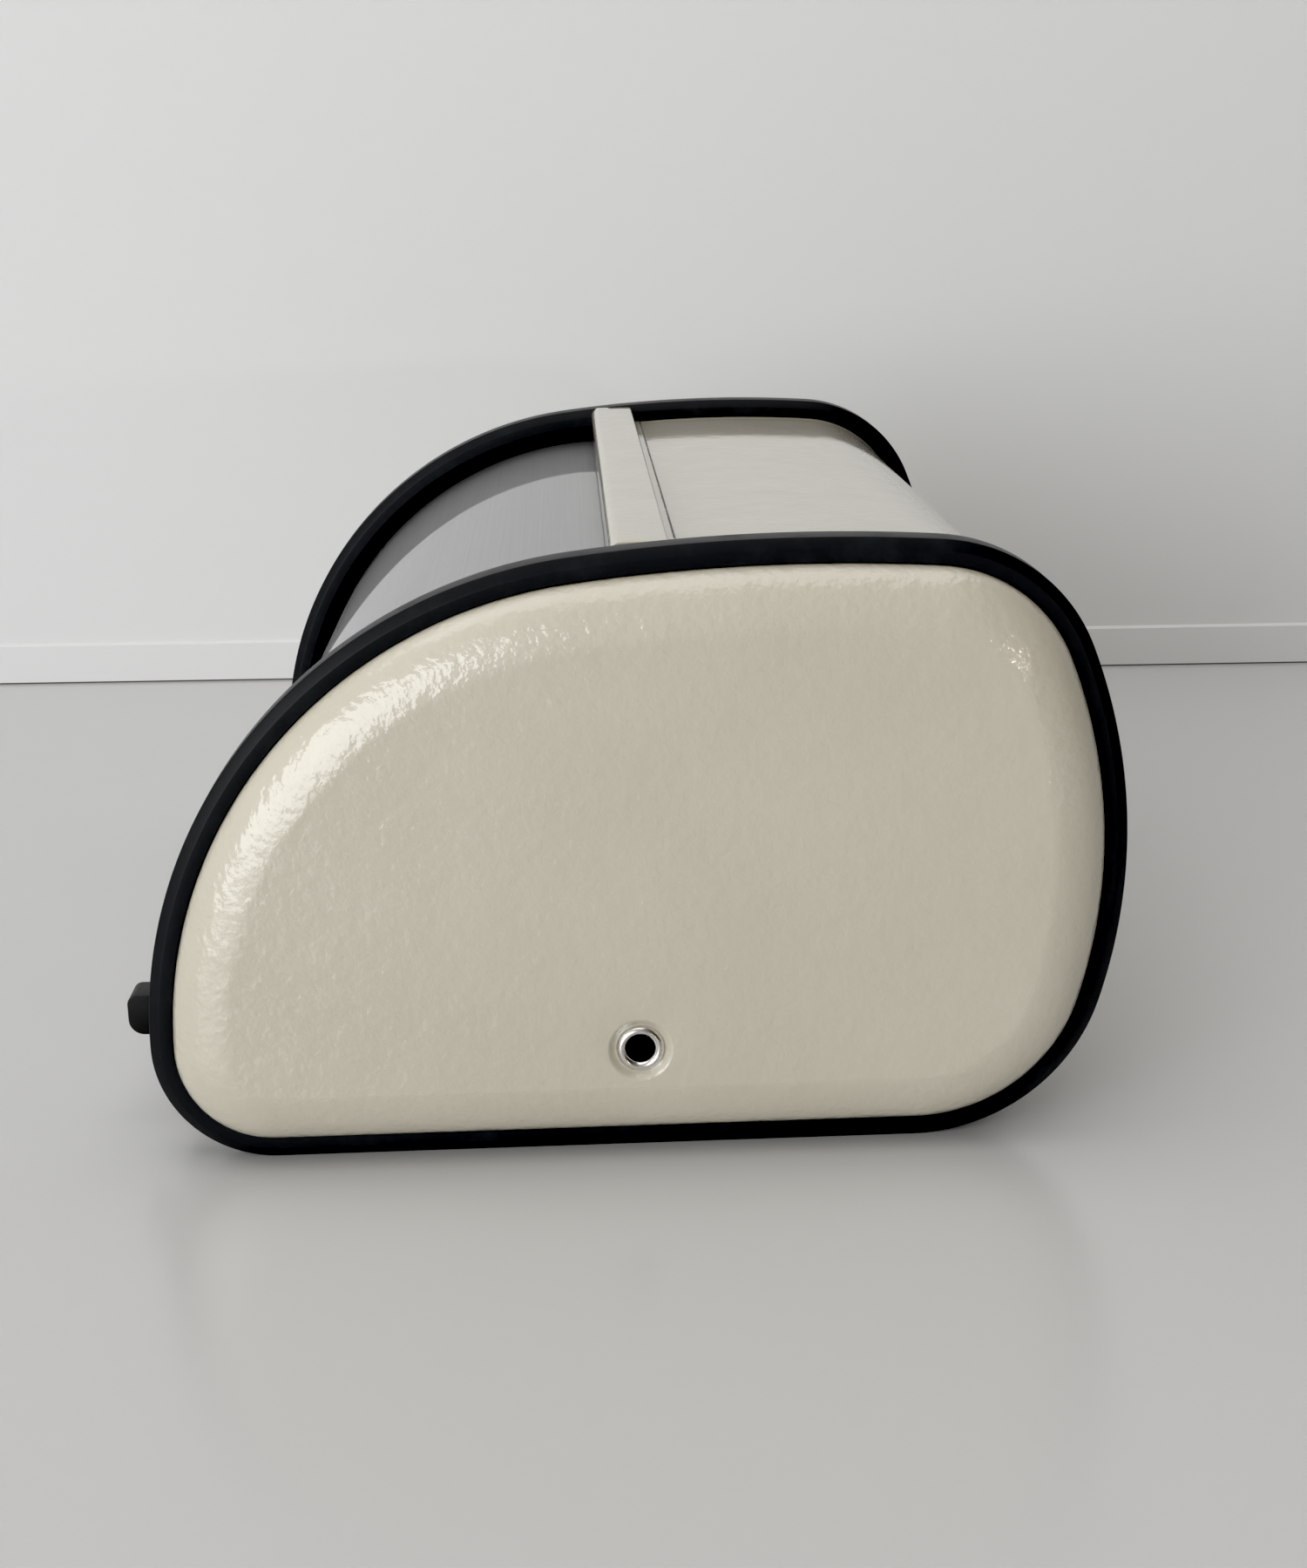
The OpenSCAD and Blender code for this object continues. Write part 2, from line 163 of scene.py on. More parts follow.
class MaterialBuilder(TreeBuilder):
    """A tree builder for one Principled material on Object coordinates."""

    def __init__(self, name: str) -> None:
        """Makes the material and its shader."""
        self.material = bpy.data.materials.new(name)
        self.material.use_nodes = True
        super().__init__(self.material.node_tree)
        self.shader = next(n for n in self.tree.nodes if n.type == "BSDF_PRINCIPLED")
        self.place = self.node("ShaderNodeTexCoord").outputs["Object"]

    def stretched(self, stretch: Sequence[float]) -> bpy.types.NodeSocket:
        """Returns the object's coordinates with each axis scaled."""
        feeds = {"Vector": self.place, "Scale": tuple(stretch)}
        return self.node("ShaderNodeMapping", feeds).outputs[0]

    def noise(self, scale: float, detail: float = 2.0, place: Optional[bpy.types.NodeSocket] = None,
              roughness: float = 0.5) -> bpy.types.NodeSocket:
        """Returns a noise value, `scale` cells to the metre."""
        feeds = {"Vector": place or self.place, "Scale": scale, "Detail": detail, "Roughness": roughness}
        return self.node("ShaderNodeTexNoise", feeds).outputs[0]

    def specks(self, scale: float, radius: float, share: float) -> bpy.types.NodeSocket:
        """Returns a mask of scattered dots.

        Args:
            scale: Cells to the metre, each of which may hold one dot.
            radius: A dot's radius, in metres.
            share: The share of the cells that hold a dot.

        Returns:
            A socket that is 1 inside a dot.
        """
        cells = self.node("ShaderNodeTexVoronoi", {"Vector": self.place, "Scale": scale})
        near = self.math("LESS_THAN", cells.outputs["Distance"], radius * scale)
        chance = self.node("ShaderNodeSeparateColor", {0: cells.outputs["Color"]}).outputs[0]
        return self.math("MULTIPLY", near, self.math("LESS_THAN", chance, share))

    def attribute(self, name: str) -> bpy.types.NodeSocket:
        """Returns a mesh attribute's value, 0 where a mesh has none."""
        return self.node("ShaderNodeAttribute", attribute_name=name).outputs["Fac"]

    def bump(self, height: bpy.types.NodeSocket, depth: float, strength: float = 1.0,
             under: Optional[bpy.types.NodeSocket] = None) -> bpy.types.NodeSocket:
        """Returns a normal bumped by a height of `depth` metres, on top of another bump."""
        bump = self.node("ShaderNodeBump", {"Height": height, "Distance": depth, "Strength": strength})
        if under is not None:
            self.feed(bump.inputs["Normal"], under)
        return bump.outputs[0]

    def set(self, **values: SocketValue) -> None:
        """Sets the shader's inputs, named with underscores for spaces."""
        for name, value in values.items():
            self.feed(self.shader.inputs[name.replace("_", " ")], value)


class Finish(Protocol):
    """Anything that can make a material."""

    def material(self) -> bpy.types.Material:
        """Returns the finish as a material."""


# ---------------------------------------------------------------------------
# Finishes
# ---------------------------------------------------------------------------


@dataclass(frozen=True)
class StoveEnamel:
    """Cream stove enamel with an orange-peel surface, a few dark grains and a black back.

    Three attributes steer it: "inside" is 1 on the back of a sheet, which is painted near-black
    without coat as painted shade, "grime" rises to 1 along cut edges, which it stains brown with
    some painted shade, and along creases and folds, where it is painted shade, and "peel" is 1
    where the coat was sprayed thickly enough to ripple.
    """

    name: str = "cream_enamel"
    light: Rgb = (0.570, 0.527, 0.432)
    deep: Rgb = (0.545, 0.502, 0.405)
    grain: Rgb = (0.16, 0.13, 0.10)
    # Near-black painted shade for the back of a sheet.
    ground: Rgb = (0.022, 0.024, 0.027)
    # Brown for stained cut edges, also used as painted shade in creases and folds.
    rust: Rgb = (0.038, 0.024, 0.017)
    peel_scale: float = 430.0
    wave_scale: float = 150.0
    wave_share: float = 1.2
    body_depth: float = 0.14 * MM
    gloss_depth: float = 0.34 * MM
    thin_coat: float = 0.10
    coat_index: float = 1.5
    coat_roughness: float = 0.02
    speck_cells: float = 60.0
    speck_radius: float = 0.30 * MM
    speck_share: float = 0.10
    chip_scale: float = 420.0

    def material(self) -> bpy.types.Material:
        """Returns the enamel as a material."""
        build = MaterialBuilder(self.name)
        cloud = build.noise(18.0, 3.0)
        tone = build.blend(build.spread(cloud, 0.35, 0.65), self.light + (1.0,), self.deep + (1.0,))
        dots = build.specks(self.speck_cells, self.speck_radius, self.speck_share)
        tone = build.blend(dots, tone, self.grain + (1.0,))
        # Brown lines along cut edges and creases: edge staining, and painted shade in the creases and the
        # rail's front fold.
        ragged = build.spread(build.noise(self.chip_scale, 3.0), 0.3, 0.7, 0.45, 1.3)
        dirt_and_shade = build.math("MULTIPLY", build.attribute("grime"), ragged)
        soiled_and_shaded = build.spread(dirt_and_shade, 0.42, 0.65)
        tone = build.blend(soiled_and_shaded, tone, self.rust + (1.0,))
        # The back of a sheet is painted near-black as shade, so the gap between end panel and lid reads
        # dark.
        back = build.attribute("inside")
        tone = build.blend(back, tone, self.ground + (1.0,))
        peel, wave = build.noise(self.peel_scale, 2.0), build.noise(self.wave_scale, 2.0)
        ripple = build.math("ADD", peel, build.math("MULTIPLY", wave, self.wave_share))
        coat = build.spread(build.attribute("peel"), 0.0, 1.0, self.thin_coat, 1.0)
        height = build.math("MULTIPLY", ripple, coat)
        body = build.bump(height, self.body_depth)
        glaze = build.bump(height, self.gloss_depth)
        gloss = build.spread(build.noise(60.0, 2.0), 0.3, 0.7, 0.36, 0.44)
        build.set(Base_Color=tone, Roughness=gloss, Normal=body, Coat_Normal=glaze)
        bare = build.math("MAXIMUM", back, soiled_and_shaded)
        build.set(Coat_Weight=build.math("SUBTRACT", 1.0, bare), Coat_Roughness=self.coat_roughness,
                  Coat_IOR=self.coat_index)
        return build.material


@dataclass(frozen=True)
class SoftRubber:
    """Black rubber with a dull sheen, faint scuffs and a few grains of dust."""

    name: str = "black_trim"
    black: Rgb = (0.0105, 0.0110, 0.0125)
    scuffed: Rgb = (0.0150, 0.0160, 0.0180)
    dust: Rgb = (0.45, 0.45, 0.43)
    roughness: float = 0.40
    sheen: float = 0.18
    dust_cells: float = 110.0
    dust_radius: float = 0.18 * MM
    dust_share: float = 0.05

    def material(self) -> bpy.types.Material:
        """Returns the rubber as a material."""
        build = MaterialBuilder(self.name)
        scuff = build.spread(build.noise(70.0, 5.0, roughness=0.65), 0.52, 0.72)
        tone = build.blend(scuff, self.black + (1.0,), self.scuffed + (1.0,))
        dots = build.specks(self.dust_cells, self.dust_radius, self.dust_share)
        tone = build.blend(dots, tone, self.dust + (1.0,))
        fine = build.bump(build.noise(1500.0, 2.0), 0.03 * MM, 0.5)
        ripple = build.bump(build.noise(160.0, 2.0), 0.08 * MM, 0.5, under=fine)
        dull = build.spread(scuff, 0.0, 1.0, self.roughness, self.roughness + 0.10)
        build.set(Base_Color=tone, Roughness=dull, Normal=ripple, Specular_IOR_Level=self.sheen)
        return build.material


@dataclass(frozen=True)
class SatinSteel:
    """Brushed stainless steel under a thin clear lacquer."""

    name: str = "satin_steel"
    light: Rgb = (0.350, 0.355, 0.356)
    deep: Rgb = (0.325, 0.330, 0.331)
    line_stretch: tuple[float, float, float] = (6.0, 1500.0, 1500.0)
    roughness: float = 0.48
    lacquer: float = 0.70
    lacquer_roughness: float = 0.03
    lacquer_index: float = 1.45
    brush_depth: float = 0.002 * MM

    def material(self) -> bpy.types.Material:
        """Returns the steel as a material, brushed along the box's length."""
        build = MaterialBuilder(self.name)
        lines = build.noise(1.0, 3.0, place=build.stretched(self.line_stretch), roughness=0.6)
        cloud = build.noise(14.0, 2.0)
        tone = build.blend(build.spread(lines, 0.3, 0.7), self.light + (1.0,), self.deep + (1.0,))
        smear = build.math("ADD", build.spread(cloud, 0.3, 0.7, -0.03, 0.03),
                           build.spread(lines, 0.3, 0.7, -0.01, 0.01))
        dull = build.math("ADD", smear, self.roughness)
        brushed = build.bump(lines, self.brush_depth, 0.5)
        build.set(Base_Color=tone, Roughness=dull, Normal=brushed, Metallic=1.0)
        build.set(Coat_Weight=self.lacquer, Coat_Roughness=self.lacquer_roughness)
        build.set(Coat_IOR=self.lacquer_index)
        return build.material


@dataclass(frozen=True)
class PlatedMetal:
    """Plated or plain metal with fine wear, for rivets, washers and screws."""

    name: str = "rivet_metal"
    light: Rgb = (0.80, 0.78, 0.75)
    deep: Rgb = (0.62, 0.60, 0.57)
    roughness: float = 0.16
    wear_scale: float = 900.0
    wear_depth: float = 0.01 * MM

    def material(self) -> bpy.types.Material:
        """Returns the metal as a material."""
        build = MaterialBuilder(self.name)
        wear = build.noise(self.wear_scale, 4.0, roughness=0.6)
        tone = build.blend(build.spread(wear, 0.4, 0.75), self.light + (1.0,), self.deep + (1.0,))
        dull = build.spread(wear, 0.3, 0.75, self.roughness, self.roughness + 0.14)
        worn = build.bump(wear, self.wear_depth, 0.5)
        build.set(Base_Color=tone, Roughness=dull, Normal=worn, Metallic=1.0)
        return build.material


@dataclass(frozen=True)
class BoredRivet(PlatedMetal):
    """Bright plating, painted black inside the pivots' bore as the bore's shade."""

    bore: float = 3.62 * MM
    bore_roughness: float = 0.7
    # Painted shade for the inside of the bore.
    black: Rgb = (0.004, 0.004, 0.004)

    def material(self) -> bpy.types.Material:
        """Returns the metal as a material, with painted shade in its bore about the lid's hinge."""
        made = super().material()
        build = TreeBuilder(made.node_tree)
        shader = next(n for n in build.tree.nodes if n.type == "BSDF_PRINCIPLED")
        place = next(n for n in build.tree.nodes if n.type == "TEX_COORD").outputs["Object"]
        _, pivot_y, pivot_z = frame["joints"][0]["pos_m"]
        parts = build.node("ShaderNodeSeparateXYZ", {0: place})
        away = [build.math("POWER", build.math("SUBTRACT", parts.outputs[axis], middle), 2.0)
                for axis, middle in (("Y", pivot_y), ("Z", pivot_z))]
        inside = build.math("LESS_THAN", build.math("ADD", *away), self.bore ** 2)
        plated = shader.inputs["Base Color"].links[0].from_socket
        dull = shader.inputs["Roughness"].links[0].from_socket
        # Paints the bore black as shade.
        build.feed(shader.inputs["Base Color"], build.blend(inside, plated, self.black + (1.0,)))
        matt = build.math("MULTIPLY", inside, self.bore_roughness)
        build.feed(shader.inputs["Roughness"], build.math("MAXIMUM", dull, matt))
        return made


@dataclass(frozen=True)
class MouldedPlastic:
    """Moulded plastic with a fine eroded texture."""

    name: str = "handle_black"
    light: Rgb = (0.0030, 0.0030, 0.0032)
    deep: Rgb = (0.0022, 0.0022, 0.0024)
    roughness: float = 0.42
    sheen: float = 0.3
    grain_scale: float = 1300.0
    grain_depth: float = 0.03 * MM

    def material(self) -> bpy.types.Material:
        """Returns the plastic as a material."""
        build = MaterialBuilder(self.name)
        grain = build.noise(self.grain_scale, 3.0)
        cloud = build.noise(90.0, 2.0)
        tone = build.blend(build.spread(cloud, 0.35, 0.65), self.light + (1.0,), self.deep + (1.0,))
        dull = build.spread(cloud, 0.3, 0.7, self.roughness, self.roughness + 0.08)
        build.set(Base_Color=tone, Roughness=dull, Normal=build.bump(grain, self.grain_depth, 0.6))
        build.set(Specular_IOR_Level=self.sheen)
        return build.material


FINISHES: dict[Slot, Finish] = {
    Slot.ENAMEL: StoveEnamel(),
    Slot.TRIM: SoftRubber(),
    Slot.RIVET: BoredRivet(),
    Slot.NYLON: MouldedPlastic("nylon", (0.74, 0.73, 0.68), (0.68, 0.67, 0.61), 0.42, 0.5, 700.0),
    Slot.WASHER: PlatedMetal("washer_steel", (0.62, 0.61, 0.60), (0.48, 0.47, 0.46), 0.30, 500.0),
    Slot.BUMPER: SoftRubber("bumper_rubber", (0.016, 0.016, 0.017), (0.028, 0.028, 0.029), roughness=0.62),
    Slot.LID: SatinSteel(),
    Slot.ARM: SatinSteel("arm_steel", line_stretch=(1500.0, 8.0, 1500.0), roughness=0.38, lacquer=0.0),
    Slot.HANDLE: MouldedPlastic(),
}


class Workshop:
    """Makes each finish once and hands it out."""

    def __init__(self) -> None:
        """Starts with no material made."""
        self.made: dict[Slot, bpy.types.Material] = {}

    def finish(self, slot: Slot) -> bpy.types.Material:
        """Returns the material for a slot."""
        if slot not in self.made:
            self.made[slot] = FINISHES[slot].material()
        return self.made[slot]


WORKSHOP = Workshop()

# ---------------------------------------------------------------------------
# The frame's own measures
# ---------------------------------------------------------------------------


@dataclass(frozen=True)
class Span:
    """The box of one node of the frame."""

    low: Vector
    high: Vector

    @staticmethod
    def of(node: str) -> "Span":
        """Returns the box of a node by name."""
        low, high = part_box(node)
        return Span(low, high)

    @property
    def middle(self) -> Vector:
        """The centre of the box."""
        return (self.low + self.high) / 2


@dataclass(frozen=True)
class Layout:
    """Places that several sub-assemblies share, read from the frame."""

    pivot_y: float
    pivot_z: float
    trim_in: float
    trim_out: float
    panel_face: float
    lid_radius: float
    lid_half: float
    sheet: float = 0.8 * MM

    @staticmethod
    def read() -> "Layout":
        """Reads the places from the joint and the nodes' boxes."""
        pivot = Vector(frame["joints"][0]["pos_m"])
        trim = Span.of("edge_trim_right")
        lid = Span.of("lid_sheet")
        return Layout(pivot.y, pivot.z, trim.low.x, trim.high.x, Span.of("end_panel_right").high.x,
                      pivot.y - lid.low.y, lid.high.x)

    @property
    def seam(self) -> float:
        """Where the body's flange meets the end panel's, in the middle of the trim."""
        return (self.trim_in + self.trim_out) / 2


@dataclass(frozen=True)
class Arc:
    """One arc of the side outline: centre, radius and its two angles, anticlockwise from the back."""

    y: float
    z: float
    radius: float
    start: float
    end: float

    def between(self, start: float, end: float) -> "Arc":
        """Returns the same circle between two other angles."""
        return Arc(self.y, self.z, self.radius, start, end)


@dataclass(frozen=True)
class Station:
    """A place on the side outline and the direction that points out of the box there."""

    y: float
    z: float
    out_y: float
    out_z: float

    def at(self, x: float, inset: float) -> Vector:
        """Returns the point at a place along the box, a distance inside the outline."""
        return Vector((x, self.y - inset * self.out_y, self.z - inset * self.out_z))


@dataclass(frozen=True)
class SideOutline:
    """The box's side view: a flat base and six tangent arcs, laid out about the lid's pivot."""

    pivot_y: float
    pivot_z: float
    half_depth: float = 125 * MM
    crown_front_tilt: float = math.radians(7)
    crown_back_tilt: float = math.radians(4.2)
    back_top_tilt: float = math.radians(68)
    back_foot_turn: float = math.radians(73.5)
    back_top_radius: float = 44 * MM
    back_foot_radius: float = 50 * MM

    def closing_radii(self) -> tuple[float, float]:
        """Works out the two radii that make the outline close.

        Returns:
            The crown's radius and the back wall's radius.
        """
        rear, fore = self.crown_back_tilt, self.crown_front_tilt
        wall, foot = self.back_top_tilt, self.back_foot_turn
        rise = (math.cos(rear) - math.cos(fore), -(math.cos(foot) + math.cos(wall)),
                self.back_foot_radius * (1 - math.cos(foot))
                + self.back_top_radius * (math.cos(rear) - math.cos(wall))
                - self.pivot_z - self.half_depth * math.cos(fore))
        run = (math.sin(rear) + math.sin(fore), 1 - math.sin(wall),
               self.half_depth * (1 + math.sin(fore))
               - self.back_top_radius * (math.sin(wall) - math.sin(rear)))
        closing = rise[0] * run[1] - rise[1] * run[0]
        return ((rise[2] * run[1] - rise[1] * run[2]) / closing,
                (rise[0] * run[2] - run[0] * rise[2]) / closing)

    def arcs(self) -> tuple[Arc, ...]:
        """Lays out the arcs.

        Returns:
            Back foot, back wall, back top corner, crown, front and nose, anticlockwise.
        """
        crown_radius, wall_radius = self.closing_radii()
        rear, fore = self.crown_back_tilt, self.crown_front_tilt
        wall, foot = self.back_top_tilt, self.back_foot_turn
        foot_r, top_r = self.back_foot_radius, self.back_top_radius
        right = math.pi / 2
        foot_y = (self.pivot_y + self.half_depth - wall_radius * (1 - math.sin(foot))
                  - foot_r * math.sin(foot))
        foot_z = foot_r
        wall_y = foot_y + (foot_r - wall_radius) * math.sin(foot)
        wall_z = foot_z - (foot_r - wall_radius) * math.cos(foot)
        top_y = wall_y + (wall_radius - top_r) * math.sin(wall)
        top_z = wall_z + (wall_radius - top_r) * math.cos(wall)
        crown_y = top_y + (top_r - crown_radius) * math.sin(rear)
        crown_z = top_z + (top_r - crown_radius) * math.cos(rear)
        return (Arc(foot_y, foot_z, foot_r, -right, foot - right),
                Arc(wall_y, wall_z, wall_radius, foot - right, right - wall),
                Arc(top_y, top_z, top_r, right - wall, right - rear),
                Arc(crown_y, crown_z, crown_radius, right - rear, right + fore),
                Arc(self.pivot_y, self.pivot_z, self.half_depth, right + fore, math.pi),
                Arc(self.pivot_y + self.pivot_z - self.half_depth, self.pivot_z, self.pivot_z,
                    math.pi, 3 * right))

    @staticmethod
    def walk_arc(arc: Arc, pitch: float) -> list[Station]:
        """Returns stations along an arc, from its first angle up to but without its last."""
        steps = max(2, math.ceil(abs(arc.end - arc.start) * arc.radius / pitch))
        turns = [arc.start + (arc.end - arc.start) * i / steps for i in range(steps)]
        return [Station(arc.y + arc.radius * math.cos(a), arc.z + arc.radius * math.sin(a),
                        math.cos(a), math.sin(a)) for a in turns]

    @staticmethod
    def end_of(arc: Arc) -> Station:
        """Returns the station at an arc's last angle."""
        a = arc.end
        return Station(arc.y + arc.radius * math.cos(a), arc.z + arc.radius * math.sin(a),
                       math.cos(a), math.sin(a))

    @staticmethod
    def walk_base(start: float, end: float, pitch: float) -> list[Station]:
        """Returns stations along the flat base, from one y up to but without another."""
        steps = max(1, math.ceil(abs(end - start) / pitch))
        return [Station(start + (end - start) * i / steps, 0.0, 0.0, -1.0) for i in range(steps)]

    def loop(self, pitch: float) -> list[Station]:
        """Returns stations all round the outline, anticlockwise from the middle of the base."""
        arcs = self.arcs()
        stations = self.walk_base(self.pivot_y, arcs[0].y, pitch)
        for arc in arcs:
            stations += self.walk_arc(arc, pitch)
        return stations + self.walk_base(arcs[-1].y, self.pivot_y, pitch)


# ---------------------------------------------------------------------------
# Meshes
# ---------------------------------------------------------------------------


def link(name: str, data: bpy.types.ID) -> bpy.types.Object:
    """Makes an object of some data and puts it in the scene."""
    piece = bpy.data.objects.new(name, data)
    bpy.context.scene.collection.objects.link(piece)
    return piece


def settle(piece: bpy.types.Object) -> bpy.types.Object:
    """Turns a piece and its modifiers into one plain smooth mesh at the origin.

    Args:
        piece: A mesh or curve object.

    Returns:
        A mesh object of the same name, with no modifiers.
    """
    bpy.context.view_layer.update()
    graph = bpy.context.evaluated_depsgraph_get()
    mesh = bpy.data.meshes.new_from_object(piece.evaluated_get(graph), depsgraph=graph)
    name, materials = piece.name, [s.material for s in piece.material_slots]
    bpy.data.objects.remove(piece)
    mesh.name = name
    if not mesh.materials:
        for material in materials:
            mesh.materials.append(material)
    smooth(mesh)
    return link(name, mesh)


def smooth(mesh: bpy.types.Mesh) -> None:
    """Shades a mesh smooth, apart from its sharp edges."""
    mesh.polygons.foreach_set("use_smooth", [True] * len(mesh.polygons))
    mesh.set_sharp_from_angle(angle=SMOOTH_LIMIT)


def weld(mesh: bpy.types.Mesh, gap: float = 1e-6, outwards: bool = True) -> None:
    """Merges a mesh's doubles and drops whatever vanishes.

    Args:
        mesh: The mesh to clean.
        gap: The distance within which two corners are one.
        outwards: Whether to point the faces outwards as well, which suits a closed mesh.
    """
    work = bmesh.new()
    work.from_mesh(mesh)
    bmesh.ops.remove_doubles(work, verts=work.verts, dist=gap)
    bmesh.ops.dissolve_degenerate(work, edges=work.edges, dist=gap / 2)
    wires = [edge for edge in work.edges if not edge.link_faces]
    bmesh.ops.delete(work, geom=wires, context="EDGES")
    if outwards:
        bmesh.ops.recalc_face_normals(work, faces=work.faces)
    work.to_mesh(mesh)
    work.free()


def skin(name: str, rings: Sequence[Ring], closed: bool, mirrored: bool = False) -> bpy.types.Object:
    """Joins rings of points into a sheet.

    Args:
        name: The piece's name.
        rings: Rings with the same number of points each.
        closed: Whether each ring joins up with itself.
        mirrored: Whether to mirror the sheet to the other end of the box.

    Returns:
        The piece, with its faces on the side that lies to the right of the rings' direction.
    """
    count = len(rings[0])
    sign = -1.0 if mirrored else 1.0
    points = [(sign * p.x, p.y, p.z) for ring in rings for p in ring]
    faces = []
    for k in range(len(rings) - 1):
        for i in range(count if closed else count - 1):
            near, far = k * count, (k + 1) * count
            after = (i + 1) % count
            face = (near + i, near + after, far + after, far + i)
            faces.append(face[::-1] if mirrored else face)
    mesh = bpy.data.meshes.new(name)
    mesh.from_pydata(points, [], faces)
    mesh.validate()
    return link(name, mesh)


def paint(piece: bpy.types.Object, attribute: str, values: Sequence[float]) -> None:
    """Stores one value per corner point of a piece, for its finish to read."""
    layer = piece.data.attributes.new(attribute, "FLOAT", "POINT")
    layer.data.foreach_set("value", list(values))


def thicken(piece: bpy.types.Object, sheet: float, edge: float = 0.0) -> bpy.types.Object:
    """Gives a sheet its thickness, inwards, and breaks its cut edges.

    Args:
        piece: The sheet's outer face.
        sheet: The thickness.
        edge: The radius of the cut edges, or 0 to leave them.

    Returns:
        The finished piece.
    """
    wall = piece.modifiers.new("wall", "SOLIDIFY")
    wall.thickness, wall.offset, wall.use_even_offset = sheet, -1.0, True
    if edge:
        round_edges(piece, edge, math.radians(60))
    return settle(piece)


def round_edges(piece: bpy.types.Object, radius: float, limit: float = math.radians(40),
                segments: int = 2) -> None:
    """Adds a bevel to the edges that turn by more than a limit."""
    bevel = piece.modifiers.new("edges", "BEVEL")
    bevel.width, bevel.segments, bevel.limit_method, bevel.angle_limit = radius, segments, "ANGLE", limit
    bevel.use_clamp_overlap = True


def revolve(name: str, profile: Sequence[tuple[float, float]], centre: Vector, axis: Vector,
            steps: int = 64) -> bpy.types.Object:
    """Turns a closed profile about an axis.

    Args:
        name: The piece's name.
        profile: Corners as (distance along the axis, radius).
        centre: The point on the axis where the distance is 0.
        axis: The direction of the axis.
        steps: The number of steps round.

    Returns:
        The closed piece.
    """
    turn = axis.to_track_quat("Z", "Y")
    rings = []
    for k in range(steps + 1):
        angle = 2 * math.pi * k / steps
        spoke = Vector((math.cos(angle), math.sin(angle), 0.0))
        rings.append([centre + turn @ (spoke * r + Vector((0, 0, h))) for h, r in profile])
    piece = skin(name, rings, closed=True)
    weld(piece.data)
    smooth(piece.data)
    return piece


def extrude(name: str, outline: Sequence[tuple[float, float]], low: float, high: float,
            edge: float, segments: int = 3) -> bpy.types.Object:
    """Extrudes an outline in the side view along the box.

    Args:
        name: The piece's name.
        outline: Corners as (y, z), anticlockwise seen from +X.
        low: The end at lesser X.
        high: The end at greater X.
        edge: The radius of the edges.
        segments: The number of facets round an edge.

    Returns:
        The closed piece with rounded edges.
    """
    work = bmesh.new()
    face = work.faces.new([work.verts.new((high, y, z)) for y, z in outline])
    other = work.faces.new([work.verts.new((low, y, z)) for y, z in reversed(outline)])
    count = len(outline)
    near, far = list(face.verts), list(reversed(other.verts))
    for i in range(count):
        after = (i + 1) % count
        work.faces.new((near[i], far[i], far[after], near[after]))
    mesh = bpy.data.meshes.new(name)
    work.to_mesh(mesh)
    work.free()
    weld(mesh)
    piece = link(name, mesh)
    round_edges(piece, edge, segments=segments)
    return settle(piece)


def bend(y: float, z: float, radius: float, start: float, end: float, steps: int = 8) -> Section:
    """Returns points round an arc in the side view, with its angles in degrees."""
    turns = [math.radians(start + (end - start) * i / steps) for i in range(steps + 1)]
    return [(y + radius * math.cos(a), z + radius * math.sin(a)) for a in turns]


def across(side: Section, spans: int) -> Section:
    """Completes a section across the box from its part at one end.

    Args:
        side: Points as (x, inset), from the end at +X inwards.
        spans: The number of steps between the last point and its mirror image.

    Returns:
        The whole section, from -X to +X.
    """
    start, inset = side[-1]
    middle = [(start - 2 * start * k / spans, inset) for k in range(1, spans)]
    return [(-x, i) for x, i in side + middle] + [(x, i) for x, i in reversed(side)]


@dataclass
class Piece:
    """A finished mesh, the body it rides on and the nodes it stands for."""

    shape: bpy.types.Object
    body: Body
    slot: Slot
    stands_for: tuple[str, ...] = ()

    def enter(self) -> None:
        """Dresses the piece, hangs it on its body and hides the nodes it stands for."""
        mesh = self.shape.data
        self.shape.name = mesh.name = f"fine_{self.shape.name.split('.')[0]}"
        mesh.materials.clear()
        mesh.materials.append(WORKSHOP.finish(self.slot))
        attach(self.shape, self.body.value)
        if self.stands_for:
            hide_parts(*self.stands_for)
        LOG.info("%-22s %6d faces on %s, %s", self.shape.name, len(mesh.polygons), self.body.value,
                 self.slot.value)


def dress_node(node: str, slot: Slot) -> None:
    """Gives a node of the frame that stays its finish."""
    for place in frame["nodes"][node].material_slots:
        place.material = WORKSHOP.finish(slot)
    LOG.info("%-22s stays, %s", node, slot.value)


# ---------------------------------------------------------------------------
# Geometry node groups
# ---------------------------------------------------------------------------


